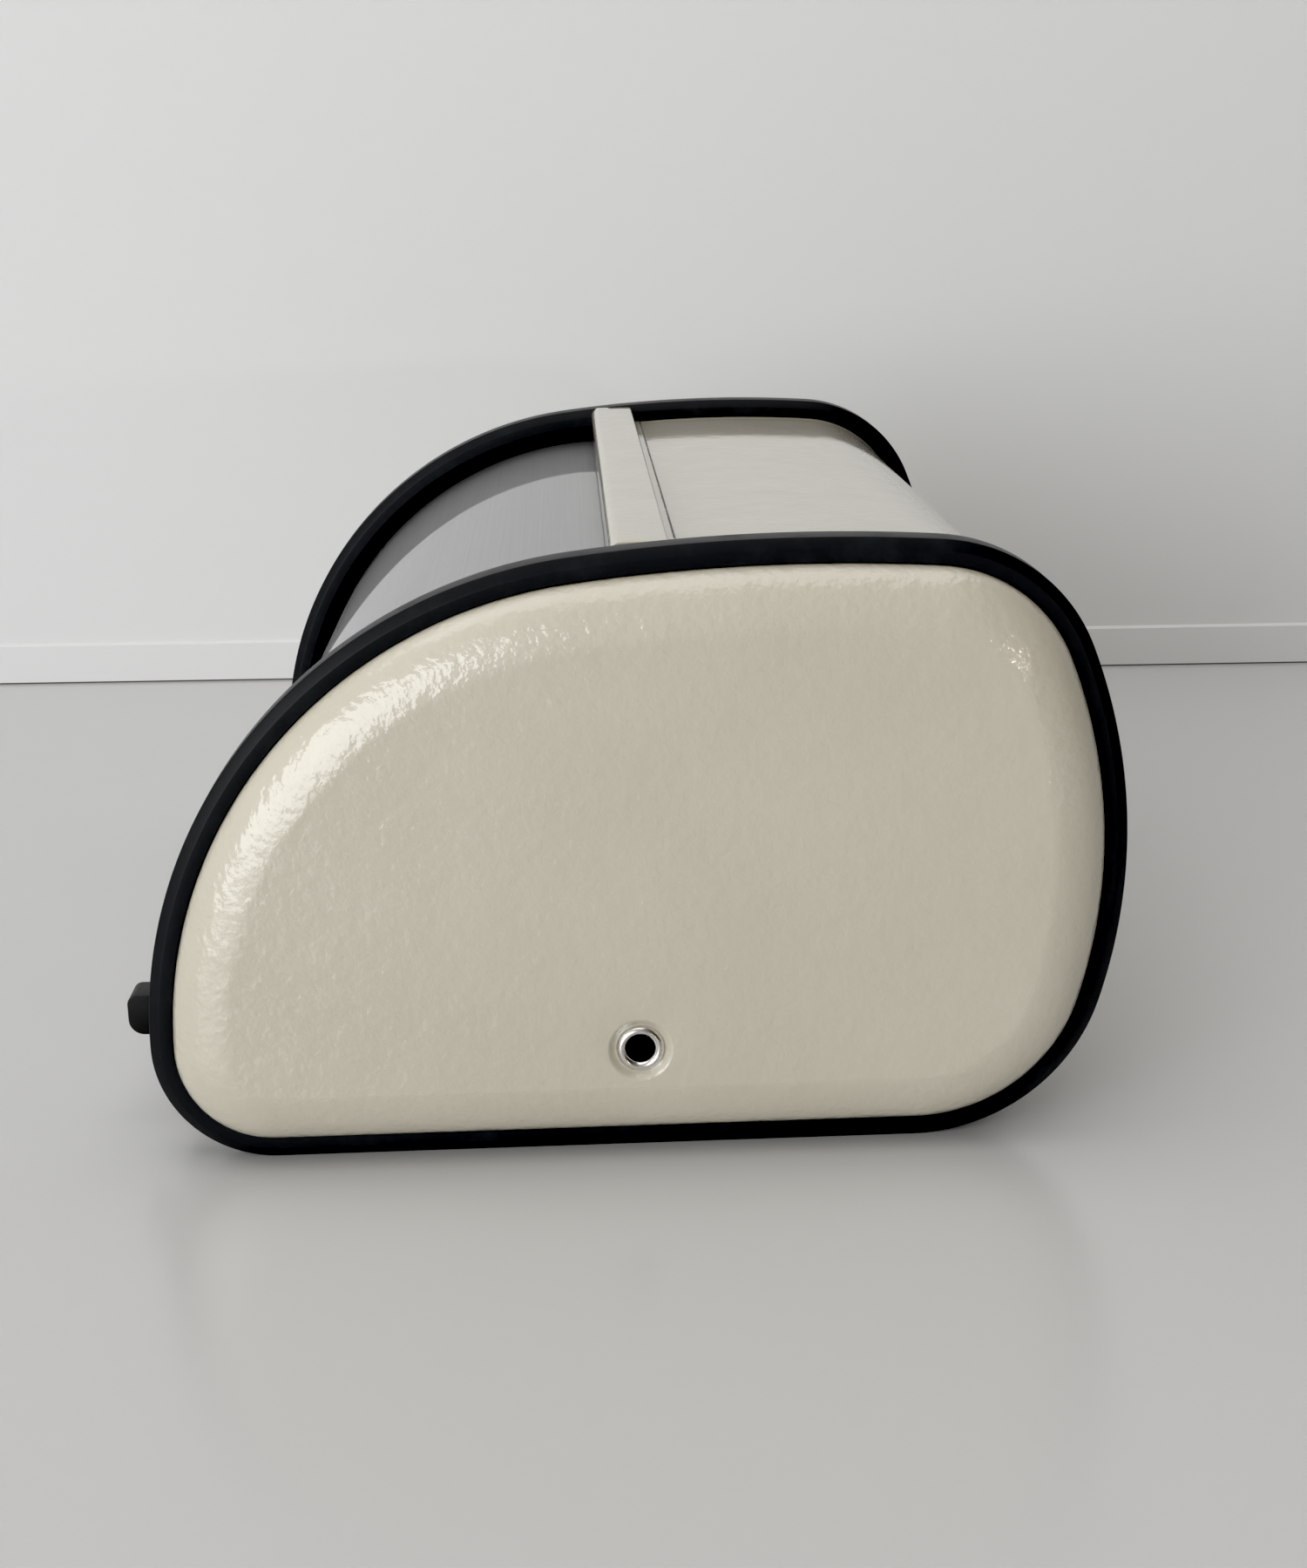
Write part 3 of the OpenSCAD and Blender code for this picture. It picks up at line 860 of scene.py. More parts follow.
class NodeGroup(TreeBuilder):
    """A geometry node group with named inputs, run once on an object."""

    def __init__(self, name: str, sizes: dict[str, float]) -> None:
        """Makes the group with a geometry, a material and the sizes as its inputs."""
        tree = bpy.data.node_groups.new(name, "GeometryNodeTree")
        super().__init__(tree)
        tree.interface.new_socket("Geometry", in_out="INPUT", socket_type="NodeSocketGeometry")
        tree.interface.new_socket("Material", in_out="INPUT", socket_type="NodeSocketMaterial")
        for size, value in sizes.items():
            socket = tree.interface.new_socket(size, in_out="INPUT", socket_type="NodeSocketFloat")
            socket.default_value = value
        tree.interface.new_socket("Geometry", in_out="OUTPUT", socket_type="NodeSocketGeometry")
        self.entry = self.node("NodeGroupInput")
        self.exit = self.node("NodeGroupOutput")

    def close(self, result: bpy.types.NodeSocket) -> None:
        """Ends the tree in Realize Instances and Set Material."""
        real = self.node("GeometryNodeRealizeInstances", {"Geometry": result})
        dressed = self.node("GeometryNodeSetMaterial", {"Geometry": real.outputs[0],
                                                        "Material": self.entry.outputs["Material"]})
        self.feed(self.exit.inputs[0], dressed.outputs[0])

    def run(self, piece: bpy.types.Object, slot: Slot, values: dict[str, float]) -> bpy.types.Object:
        """Runs the group on an object.

        Args:
            piece: The object whose geometry goes in.
            slot: The finish of the result.
            values: The group's sizes by name.

        Returns:
            The result as a plain mesh of the same name.
        """
        modifier = piece.modifiers.new(self.tree.name, "NODES")
        modifier.node_group = self.tree
        names = {s.name: s.identifier for s in self.tree.interface.items_tree if s.in_out == "INPUT"}
        modifier[names["Material"]] = WORKSHOP.finish(slot)
        for name, value in values.items():
            modifier[names[name]] = value
        return settle(piece)


class ChannelSweep(NodeGroup):
    """Sweeps a U channel with cut-off outer corners along a closed path."""

    SIZES = {"Width": 11.5 * MM, "Depth": 6.3 * MM, "Face cut": 2.7 * MM, "Edge cut": 1.6 * MM,
             "Corner radius": 0.45 * MM, "Slot width": 1.7 * MM, "Slot top": 1.4 * MM}

    def __init__(self) -> None:
        """Builds the tree: corners, fillets, then the sweep."""
        super().__init__("channel_sweep", self.SIZES)
        sizes = self.entry.outputs
        half = self.math("MULTIPLY", sizes["Width"], 0.5)
        slot = self.math("MULTIPLY", sizes["Slot width"], 0.5)
        shoulder = self.math("SUBTRACT", half, sizes["Edge cut"])
        depth, cut, top = (self.flipped(sizes[n]) for n in ("Depth", "Face cut", "Slot top"))
        corners = [(depth, half, 1.0), (cut, half, 1.0), (0.0, shoulder, 1.0)]
        corners += [(depth, self.flipped(side), soft) for depth, side, soft in reversed(corners)]
        slot_corners = [(depth, slot, 0.4), (top, slot, 0.4)]
        corners += [(depth, self.flipped(side), soft) for depth, side, soft in slot_corners]
        corners += list(reversed(slot_corners))
        index = self.node("GeometryNodeInputIndex").outputs[0]
        place = self.node("GeometryNodeIndexSwitch", data_type="VECTOR")
        softness = self.node("GeometryNodeIndexSwitch", data_type="FLOAT")
        for switch in (place, softness):
            while len(switch.index_switch_items) < len(corners):
                switch.index_switch_items.new()
            self.feed(switch.inputs[0], index)
        for number, (depth, side, soft) in enumerate(corners, start=1):
            corner = self.node("ShaderNodeCombineXYZ", {0: side, 1: depth})
            self.feed(place.inputs[number], corner.outputs[0])
            softness.inputs[number].default_value = soft
        ring = self.node("GeometryNodeCurvePrimitiveCircle", {"Resolution": len(corners)}, mode="RADIUS")
        moved = self.node("GeometryNodeSetPosition", {"Geometry": ring.outputs[0],
                                                      "Position": place.outputs[0]})
        radius = self.math("MULTIPLY", softness.outputs[0], sizes["Corner radius"])
        fillet = self.node("GeometryNodeFilletCurve", {"Curve": moved.outputs[0], "Radius": radius,
                                                       "Count": 4, "Limit Radius": True}, mode="POLY")
        swept = self.node("GeometryNodeCurveToMesh", {"Curve": sizes["Geometry"],
                                                      "Profile Curve": fillet.outputs[0]})
        self.close(swept.outputs[0])

    def flipped(self, value: bpy.types.NodeSocket) -> bpy.types.NodeSocket:
        """Returns a size with its sign changed."""
        return self.math("MULTIPLY", value, -1.0)


class FastenerSet(NodeGroup):
    """Puts a copy of one fastener at each point of a mesh, each turned a little further."""

    def __init__(self, fastener: bpy.types.Object, name: str) -> None:
        """Builds the tree round the fastener's own mesh."""
        super().__init__(name, {"Turn": 0.0})
        points = self.node("GeometryNodeMeshToPoints", {"Mesh": self.entry.outputs["Geometry"]})
        shape = self.node("GeometryNodeObjectInfo", {"Object": fastener})
        index = self.node("GeometryNodeInputIndex").outputs[0]
        turn = self.math("MULTIPLY", index, self.entry.outputs["Turn"])
        facing = self.node("GeometryNodeInputNamedAttribute", {"Name": "facing"}, data_type="FLOAT_VECTOR")
        aim = self.node("FunctionNodeAlignRotationToVector", {"Vector": facing.outputs[0]}, axis="Z")
        spin = self.node("FunctionNodeAxisAngleToRotation", {"Axis": (0.0, 0.0, 1.0), "Angle": turn})
        both = self.node("FunctionNodeRotateRotation", {0: aim.outputs[0], 1: spin.outputs[0]},
                         rotation_space="LOCAL")
        copies = self.node("GeometryNodeInstanceOnPoints",
                           {"Points": points.outputs[0], "Instance": shape.outputs["Geometry"],
                            "Rotation": both.outputs[0]})
        self.close(copies.outputs[0])


def fasten(name: str, fastener: bpy.types.Object, seats: Sequence[tuple[Vector, Vector]], slot: Slot,
           turn: float = 0.7) -> bpy.types.Object:
    """Sets copies of a fastener on their seats.

    Args:
        name: The new piece's name.
        fastener: The fastener, on the origin, with its head towards +Z. It is used up.
        seats: Where each copy goes and which way its head faces.
        slot: The finish.
        turn: How much further each copy is screwed round than the last, in radians.

    Returns:
        One piece that holds all the copies.
    """
    mesh = bpy.data.meshes.new(name)
    mesh.from_pydata([tuple(place) for place, _ in seats], [], [])
    facing = mesh.attributes.new("facing", "FLOAT_VECTOR", "POINT")
    facing.data.foreach_set("vector", [value for _, aim in seats for value in aim])
    group = FastenerSet(fastener, f"{name}_set")
    piece = group.run(link(name, mesh), slot, {"Turn": turn})
    bpy.data.objects.remove(fastener)
    for attribute in [a.name for a in piece.data.attributes if a.name == "facing"]:
        piece.data.attributes.remove(piece.data.attributes[attribute])
    return piece


# ---------------------------------------------------------------------------
# Sub-assemblies
# ---------------------------------------------------------------------------


@dataclass
class EdgeTrims:
    """The two black rubber channels that grip the seams round the ends."""

    layout: Layout
    outline: SideOutline
    pitch: float = 2.0 * MM

    def path(self, end: End) -> bpy.types.Object:
        """Draws the closed path that one trim follows."""
        stations = self.outline.loop(self.pitch)
        curve = bpy.data.curves.new(f"edge_trim_{end.word}", "CURVE")
        curve.dimensions = "3D"
        line = curve.splines.new("POLY")
        line.points.add(len(stations) - 1)
        for point, station in zip(line.points, stations):
            point.co = (end.value * self.layout.seam, station.y, station.z, 1.0)
        line.use_cyclic_u = True
        return link(curve.name, curve)

    def build(self) -> list[Piece]:
        """Returns the trims."""
        channel = ChannelSweep()
        values = dict(ChannelSweep.SIZES, Width=self.layout.trim_out - self.layout.trim_in)
        pieces = []
        for end in End:
            shape = channel.run(self.path(end), Slot.TRIM, values)
            weld(shape.data)
            smooth(shape.data)
            pieces.append(Piece(shape, Body.BOX, Slot.TRIM, (f"edge_trim_{end.word}",)))
        return pieces


@dataclass
class EndPanels:
    """The two pressed end panels: flange, root, rounded shoulder, face and the pivot's dimple."""

    layout: Layout
    outline: SideOutline
    flange_inset: float = 1.6 * MM
    wall_inset: float = 6.4 * MM
    root_radius: float = 1.2 * MM
    shoulder: float = 14.5 * MM
    shoulder_turn: float = math.radians(75)
    dimple_radius: float = 7.2 * MM
    dimple_blend: float = 2.6 * MM
    dimple_depth: float = 1.6 * MM
    hole_radius: float = 4.35 * MM
    pitch: float = 2.2 * MM
    root_steps: int = 6
    shoulder_steps: int = 18
    face_steps: int = 14
    dimple_steps: int = 12
    crease: float = 0.01

    def rim_profile(self) -> Section:
        """Returns the section from the flange to the edge of the face, as (x, inset)."""
        seat = self.layout.seam + self.layout.sheet
        rise = self.layout.panel_face - self.layout.trim_out
        section = [(seat, self.flange_inset), (seat, (self.flange_inset + self.wall_inset) / 2)]
        for k in range(self.root_steps + 1):
            angle = math.pi / 2 * k / self.root_steps
            section.append((seat + self.root_radius * (1 - math.cos(angle)),
                            self.wall_inset - self.root_radius * (1 - math.sin(angle))))
        height = rise / math.sin(self.shoulder_turn)
        breadth = self.shoulder / (1 - math.cos(self.shoulder_turn))
        for k in range(self.shoulder_steps + 1):
            angle = self.shoulder_turn * k / self.shoulder_steps
            section.append((self.layout.trim_out + height * math.sin(angle),
                            self.wall_inset + breadth * (1 - math.cos(angle))))
        return section

    def dimple_profile(self) -> Section:
        """Returns the dimple's section from its rim to the hole, as (x, radius)."""
        face, half = self.layout.panel_face, self.dimple_blend / 2
        section = []
        for k in range(self.dimple_steps + 1):
            share = k / self.dimple_steps
            drop = self.dimple_depth * (1 - math.cos(math.pi * share)) / 2
            section.append((face - drop, self.dimple_radius + half - 2 * half * share))
        floor = face - self.dimple_depth
        midway = (self.dimple_radius - half + self.hole_radius) / 2
        return section + [(floor, midway), (floor, self.hole_radius)]

    def build(self) -> list[Piece]:
        """Returns the panels."""
        stations = self.outline.loop(self.pitch)
        rings = [[s.at(x, inset) for s in stations] for x, inset in self.rim_profile()]
        centre = Vector((self.layout.panel_face, self.layout.pivot_y, self.layout.pivot_z))
        spokes = [(p - centre).normalized() for p in rings[-1]]
        dimple = self.dimple_profile()
        inner = [centre + spoke * dimple[0][1] for spoke in spokes]
        edge = rings[-1]
        for share in [self.crease] + [k / self.face_steps for k in range(1, self.face_steps)]:
            rings.append([a.lerp(b, share) for a, b in zip(edge, inner)])
        for x, radius in dimple:
            rings.append([Vector((x, centre.y, centre.z)) + spoke * radius for spoke in spokes])
        pieces = []
        for end in End:
            name = f"end_panel_{end.word}"
            sheet = skin(name, rings, closed=True, mirrored=end is End.LEFT)
            front = len(sheet.data.vertices)
            shape = thicken(sheet, self.layout.sheet)
            backs = len(shape.data.vertices) - front
            # Marks the panel's back, which the enamel paints near-black as shade.
            paint(shape, "inside", [0.0] * front + [1.0] * backs)
            paint(shape, "peel", [1.0] * (front + backs))
            pieces.append(Piece(shape, Body.BOX, Slot.ENAMEL, (name,)))
        return pieces


@dataclass
class BodyShell:
    """The wrapped body sheet: top, back, floor and front lip, with flanges at both ends."""

    layout: Layout
    outline: SideOutline
    sheet_inset: float = 6.8 * MM
    flange_inset: float = 1.6 * MM
    flange_top: float = 2.4 * MM
    sweep: float = 7.2 * MM
    front_edge: float = 3.3 * MM
    lip_drop: float = math.radians(20.5)
    cut_edge: float = 0.2 * MM
    pitch: float = 2.4 * MM
    sweep_steps: int = 12
    spans: int = 12

    def stations(self) -> list[Station]:
        """Returns the sheet's path from the front lip, along the base and up to the rail."""
        foot, wall, top, crown, _, nose = self.outline.arcs()
        reach = self.layout.pivot_y - self.front_edge - crown.y
        front = math.acos(reach / (crown.radius - self.sheet_inset))
        path = self.outline.walk_arc(nose.between(math.pi + self.lip_drop, nose.end), self.pitch)
        path += self.outline.walk_base(nose.y, foot.y, self.pitch * 4)
        last = crown.between(crown.start, front)
        for arc in (foot, wall, top, last):
            path += self.outline.walk_arc(arc, self.pitch)
        return path + [self.outline.end_of(last)]

    def section(self) -> Section:
        """Returns the sheet's section across the box, as (x, inset), from -X to +X."""
        flange = self.layout.seam - self.layout.sheet
        start = flange - self.sweep
        rise = self.sheet_inset - self.flange_top
        side = [(flange, self.flange_inset)]
        for k in range(self.sweep_steps + 1):
            angle = math.pi / 2 * k / self.sweep_steps
            side.append((start + self.sweep * math.cos(angle),
                         self.sheet_inset - rise * (1 - math.sin(angle))))
        return across(side, self.spans)

    def build(self) -> list[Piece]:
        """Returns the shell."""
        path = self.stations()
        rings = [[s.at(x, inset) for s in path] for x, inset in self.section()]
        sheet = skin("body_shell", rings, closed=False)
        shape = thicken(sheet, self.layout.sheet, self.cut_edge)
        return [Piece(shape, Body.BOX, Slot.ENAMEL, ("body_shell",))]


@dataclass
class TopRail:
    """The folded rail across the top, behind which the lid runs."""

    layout: Layout
    outline: SideOutline
    front_fold: float = 2.9 * MM
    back_fold: float = 0.9 * MM
    flange: float = 3.3 * MM
    foot_gap: float = 3.1 * MM
    line: float = 0.30 * MM
    cut_edge: float = 0.15 * MM
    cuts: int = 60

    def crown_height(self, y: float) -> float:
        """Returns the height of the body sheet under a place on the crown."""
        crown = self.outline.arcs()[3]
        radius = crown.radius - BodyShell.sheet_inset
        return crown.z + math.sqrt(radius ** 2 - (y - crown.y) ** 2)

    def build(self) -> list[Piece]:
        """Returns the rail, bent from one strip."""
        span = Span.of("top_rail")
        front, back, top = span.low.y, span.high.y - self.flange, span.high.z
        sheet, line = self.layout.sheet, self.line
        foot = self.layout.pivot_z + self.layout.lid_radius + self.foot_gap
        crease = self.crown_height(back) + sheet
        fold = top - self.front_fold
        # Each point's second number marks painted shade at the foot of the front fold and in the rear
        # crease, and brown staining with painted shade along the flange's cut edge.
        course = [((front, foot), 0.0), ((front, fold - 3 * line), 0.0)]
        rounding = bend(front + self.front_fold, fold, self.front_fold, 180, 90, 10)
        course += list(zip(rounding, (0.0, 0.5, 1.0, 0.5) + (0.0,) * 7))
        course += [(place, 0.0) for place in
                   bend(back - self.back_fold, top - self.back_fold, self.back_fold, 90, 0, 6)]
        course += [((back, crease + 2 * line), 0.0), ((back + line / 4, crease + line / 2), 1.0)]
        course += [((back + line, crease), 1.0), ((back + 2 * line, crease), 0.0)]
        edge_y = span.high.y
        course += [((edge_y - 3 * line, self.crown_height(edge_y - 3 * line) + sheet), 0.0)]
        course += [((y, self.crown_height(y) + sheet), 1.0) for y in (edge_y - 1.5 * line, edge_y)]
        low, high = span.low.x, span.high.x
        places = [low + (high - low) * k / self.cuts for k in range(self.cuts + 1)]
        rings = [[Vector((x, y, z)) for x in places] for (y, z), _ in course]
        strip = skin("top_rail", rings, closed=False)
        paint(strip, "grime", [dirt_and_shade for _, dirt_and_shade in course for _ in places])
        return [Piece(thicken(strip, sheet, self.cut_edge), Body.BOX, Slot.ENAMEL, ("top_rail",))]


@dataclass
class RollLid:
    """The curved lid sheet with its rolled long edges and turned-in ends."""

    layout: Layout
    rear_angle: float = 84.0
    front_angle: float = 185.8
    lip: float = 10.0 * MM
    end_bend: float = 1.6 * MM
    hem: float = 3.0 * MM
    hem_bend: float = 1.2 * MM
    cut_edge: float = 0.18 * MM
    hem_steps: int = 7
    bend_steps: int = 6
    spans: int = 16
    turn_step: float = 0.9

    def stations(self) -> list[Station]:
        """Returns the lid's path from the rear edge to the front edge, with both hems."""
        radius = self.layout.lid_radius
        margin = math.degrees(self.hem_bend / radius)
        arc = Arc(self.layout.pivot_y, self.layout.pivot_z, radius,
                  math.radians(self.rear_angle + margin), math.radians(self.front_angle - margin))
        path = SideOutline.walk_arc(arc, radius * math.radians(self.turn_step)) + [SideOutline.end_of(arc)]
        return self.hem_of(path[0], -1.0)[::-1] + path + self.hem_of(path[-1], 1.0)

    def hem_of(self, edge: Station, way: float) -> list[Station]:
        """Returns the stations that roll the sheet inwards past an edge.

        Args:
            edge: The last station of the plain sheet.
            way: 1 to go on anticlockwise, -1 to go back.

        Returns:
            The stations of the bend and of the straight return.
        """
        along = Vector((-edge.out_z, edge.out_y)) * way
        out = Vector((edge.out_y, edge.out_z))
        start = Vector((edge.y, edge.z))
        rolled = []
        for k in range(1, self.hem_steps):
            angle = math.pi / 2 * k / (self.hem_steps - 1)
            place = (start + along * self.hem_bend * math.sin(angle)
                     - out * self.hem_bend * (1 - math.cos(angle)))
            aim = out * math.cos(angle) + along * math.sin(angle)
            rolled.append(Station(place.x, place.y, aim.x, aim.y))
        last = Vector((rolled[-1].y, rolled[-1].z)) - out * (self.hem - self.hem_bend)
        rolled.append(Station(last.x, last.y, along.x, along.y))
        return rolled

    def lip_edge(self, edge: Station, hem: Station, x: float, inset: float) -> Vector:
        """Returns where a station of the hem goes on an end lip, which has no hem of its own.

        Args:
            edge: The last station of the plain sheet.
            hem: A station of the hem.
            x: The place along the box.
            inset: The depth on the lip.

        Returns:
            The point, on the lip's own rounded corner or straight edge.
        """
        out = Vector((0.0, edge.out_y, edge.out_z))
        way = math.copysign(1.0, (hem.at(x, 0.0) - edge.at(x, 0.0)).dot(Vector((0.0, -out.z, out.y))))
        along = Vector((0.0, -out.z, out.y)) * way
        offset = hem.at(x, 0.0) - edge.at(x, 0.0)
        deep, reach = -offset.dot(out), offset.dot(along)
        if inset > deep:
            left = max(0.0, 1 - inset / self.hem_bend)
            deep, reach = inset, self.hem_bend * math.sqrt(1 - left ** 2)
        return edge.at(x, 0.0) + along * reach - out * deep

    def section(self) -> Section:
        """Returns the plain sheet's section, as (x, inset), with both ends turned in."""
        half, turn = self.layout.lid_half, self.end_bend
        side = [(half, self.lip), (half, turn + 2 * MM)]
        for k in range(self.bend_steps + 1):
            angle = math.pi / 2 * k / self.bend_steps
            side.append((half - turn * (1 - math.cos(angle)), turn * (1 - math.sin(angle))))
        return across(side, self.spans)

    def build(self) -> list[Piece]:
        """Returns the lid sheet."""
        path = self.stations()
        last = len(path) - 1
        rings = []
        for x, inset in self.section():
            ring = [s.at(x, inset) for s in path]
            for k in range(self.hem_steps if inset else 0):
                ring[k] = self.lip_edge(path[self.hem_steps], path[k], x, inset)
                ring[last - k] = self.lip_edge(path[last - self.hem_steps], path[last - k], x, inset)
            rings.append(ring)
        sheet = skin("lid_sheet", rings, closed=False)
        weld(sheet.data, outwards=False)
        shape = thicken(sheet, self.layout.sheet, self.cut_edge)
        return [Piece(shape, Body.LID, Slot.LID, ("lid_sheet",))]


@dataclass
class LidArms:
    """The plates that carry the lid on its pivots, and the rivets that hold them."""

    layout: Layout
    hub_radius: float = 12.0 * MM
    first_angle: float = 110.0
    last_angle: float = 165.0
    rivet_angles: tuple[float, ...] = (115.0, 137.5, 160.0)
    rivet_head: float = 3.0 * MM
    rivet_rise: float = 1.0 * MM
    lip: float = 10.0 * MM

    def outline(self) -> Section:
        """Returns the plate's outline in the side view, anticlockwise."""
        y, z = self.layout.pivot_y, self.layout.pivot_z
        edge = self.layout.lid_radius - self.layout.sheet - 0.1 * MM
        hub = bend(y, z, self.hub_radius, self.last_angle + 90, self.first_angle + 270, 20)
        return bend(y, z, edge, self.first_angle, self.last_angle, 40) + hub

    def rivet(self, rise: float) -> bpy.types.Object:
        """Returns one domed rivet head on the origin."""
        dome = [(rise * math.sin(a), self.rivet_head * math.cos(a))
                for a in (math.pi / 2 * k / 8 for k in range(9))]
        return revolve("rivet_head", [(0.0, 0.0)] + dome, Vector((0, 0, 0)), Vector((0, 0, 1)), 32)

    def build(self) -> list[Piece]:
        """Returns the arms and their rivets."""
        pieces = []
        ring = self.layout.lid_radius - self.layout.sheet - self.lip / 2
        for end in End:
            arm = Span.of(f"lid_arm_{end.word}")
            shape = extrude(f"lid_arm_{end.word}", self.outline(), arm.low.x, arm.high.x, 0.2 * MM)
            pieces.append(Piece(shape, Body.LID, Slot.ARM, (f"lid_arm_{end.word}",)))
            seats = []
            inner = min(abs(arm.low.x), abs(arm.high.x)) * end.value
            for x, aim in ((inner, -end.value), (self.layout.lid_half * end.value, end.value)):
                for y, z in (bend(self.layout.pivot_y, self.layout.pivot_z, ring, a, a, 1)[0]
                             for a in self.rivet_angles):
                    seats.append((Vector((x, y, z)), Vector((aim, 0, 0))))
            name = f"arm_rivets_{end.word}"
            rivets = fasten(name, self.rivet(self.rivet_rise), seats, Slot.RIVET)
            pieces.append(Piece(rivets, Body.LID, Slot.RIVET, (name,)))
        return pieces


@dataclass
class Pivots:
    """The tubular rivets on which the lid turns."""

    layout: Layout
    bore: float = 3.5 * MM
    barrel: float = 4.3 * MM
    flange: float = 6.15 * MM
    roll: float = 1.5 * MM
    curl_steps: int = 17

    def curl(self, way: float) -> Section:
        """Returns the section of a rolled flange.

        Args:
            way: 1 for the flange on the panel, -1 for the one on the washer.

        Returns:
            Points as (distance past the seat, radius), from the bore to the rim.
        """
        middle, half = (self.bore + self.flange) / 2, (self.flange - self.bore) / 2
        points = [(-0.9 * MM, self.bore), (-0.25 * MM, self.bore + 0.05 * MM)]
        for k in range(1, self.curl_steps + 1):
            angle = math.pi * k / self.curl_steps
            lift = self.roll * (0.82 * math.sin(angle) + 0.18 * math.sin(angle) ** 6)
            points.append((lift, middle - half * math.cos(angle)))
        return [(way * h, r) for h, r in points]

    def build(self) -> list[Piece]:
        """Returns both rivets."""
        pieces = []
        for end in End:
            rivet = Span.of(f"pivot_rivet_{end.word}")
            tips = sorted((rivet.low.x * end.value, rivet.high.x * end.value))
            outer_seat, inner_seat = tips[1] - self.roll, tips[0] + self.roll
            outside = [(outer_seat + h, r) for h, r in self.curl(1.0)]
            inside = [(inner_seat + h, r) for h, r in self.curl(-1.0)]
            profile = outside + [(outer_seat, self.barrel), (inner_seat, self.barrel)] + inside[::-1]
            centre = Vector((0.0, self.layout.pivot_y, self.layout.pivot_z))
            name = f"pivot_rivet_{end.word}"
            shape = revolve(name, profile, centre, Vector((end.value, 0, 0)), 96)
            pieces.append(Piece(shape, Body.BOX, Slot.RIVET, (name,)))
        return pieces


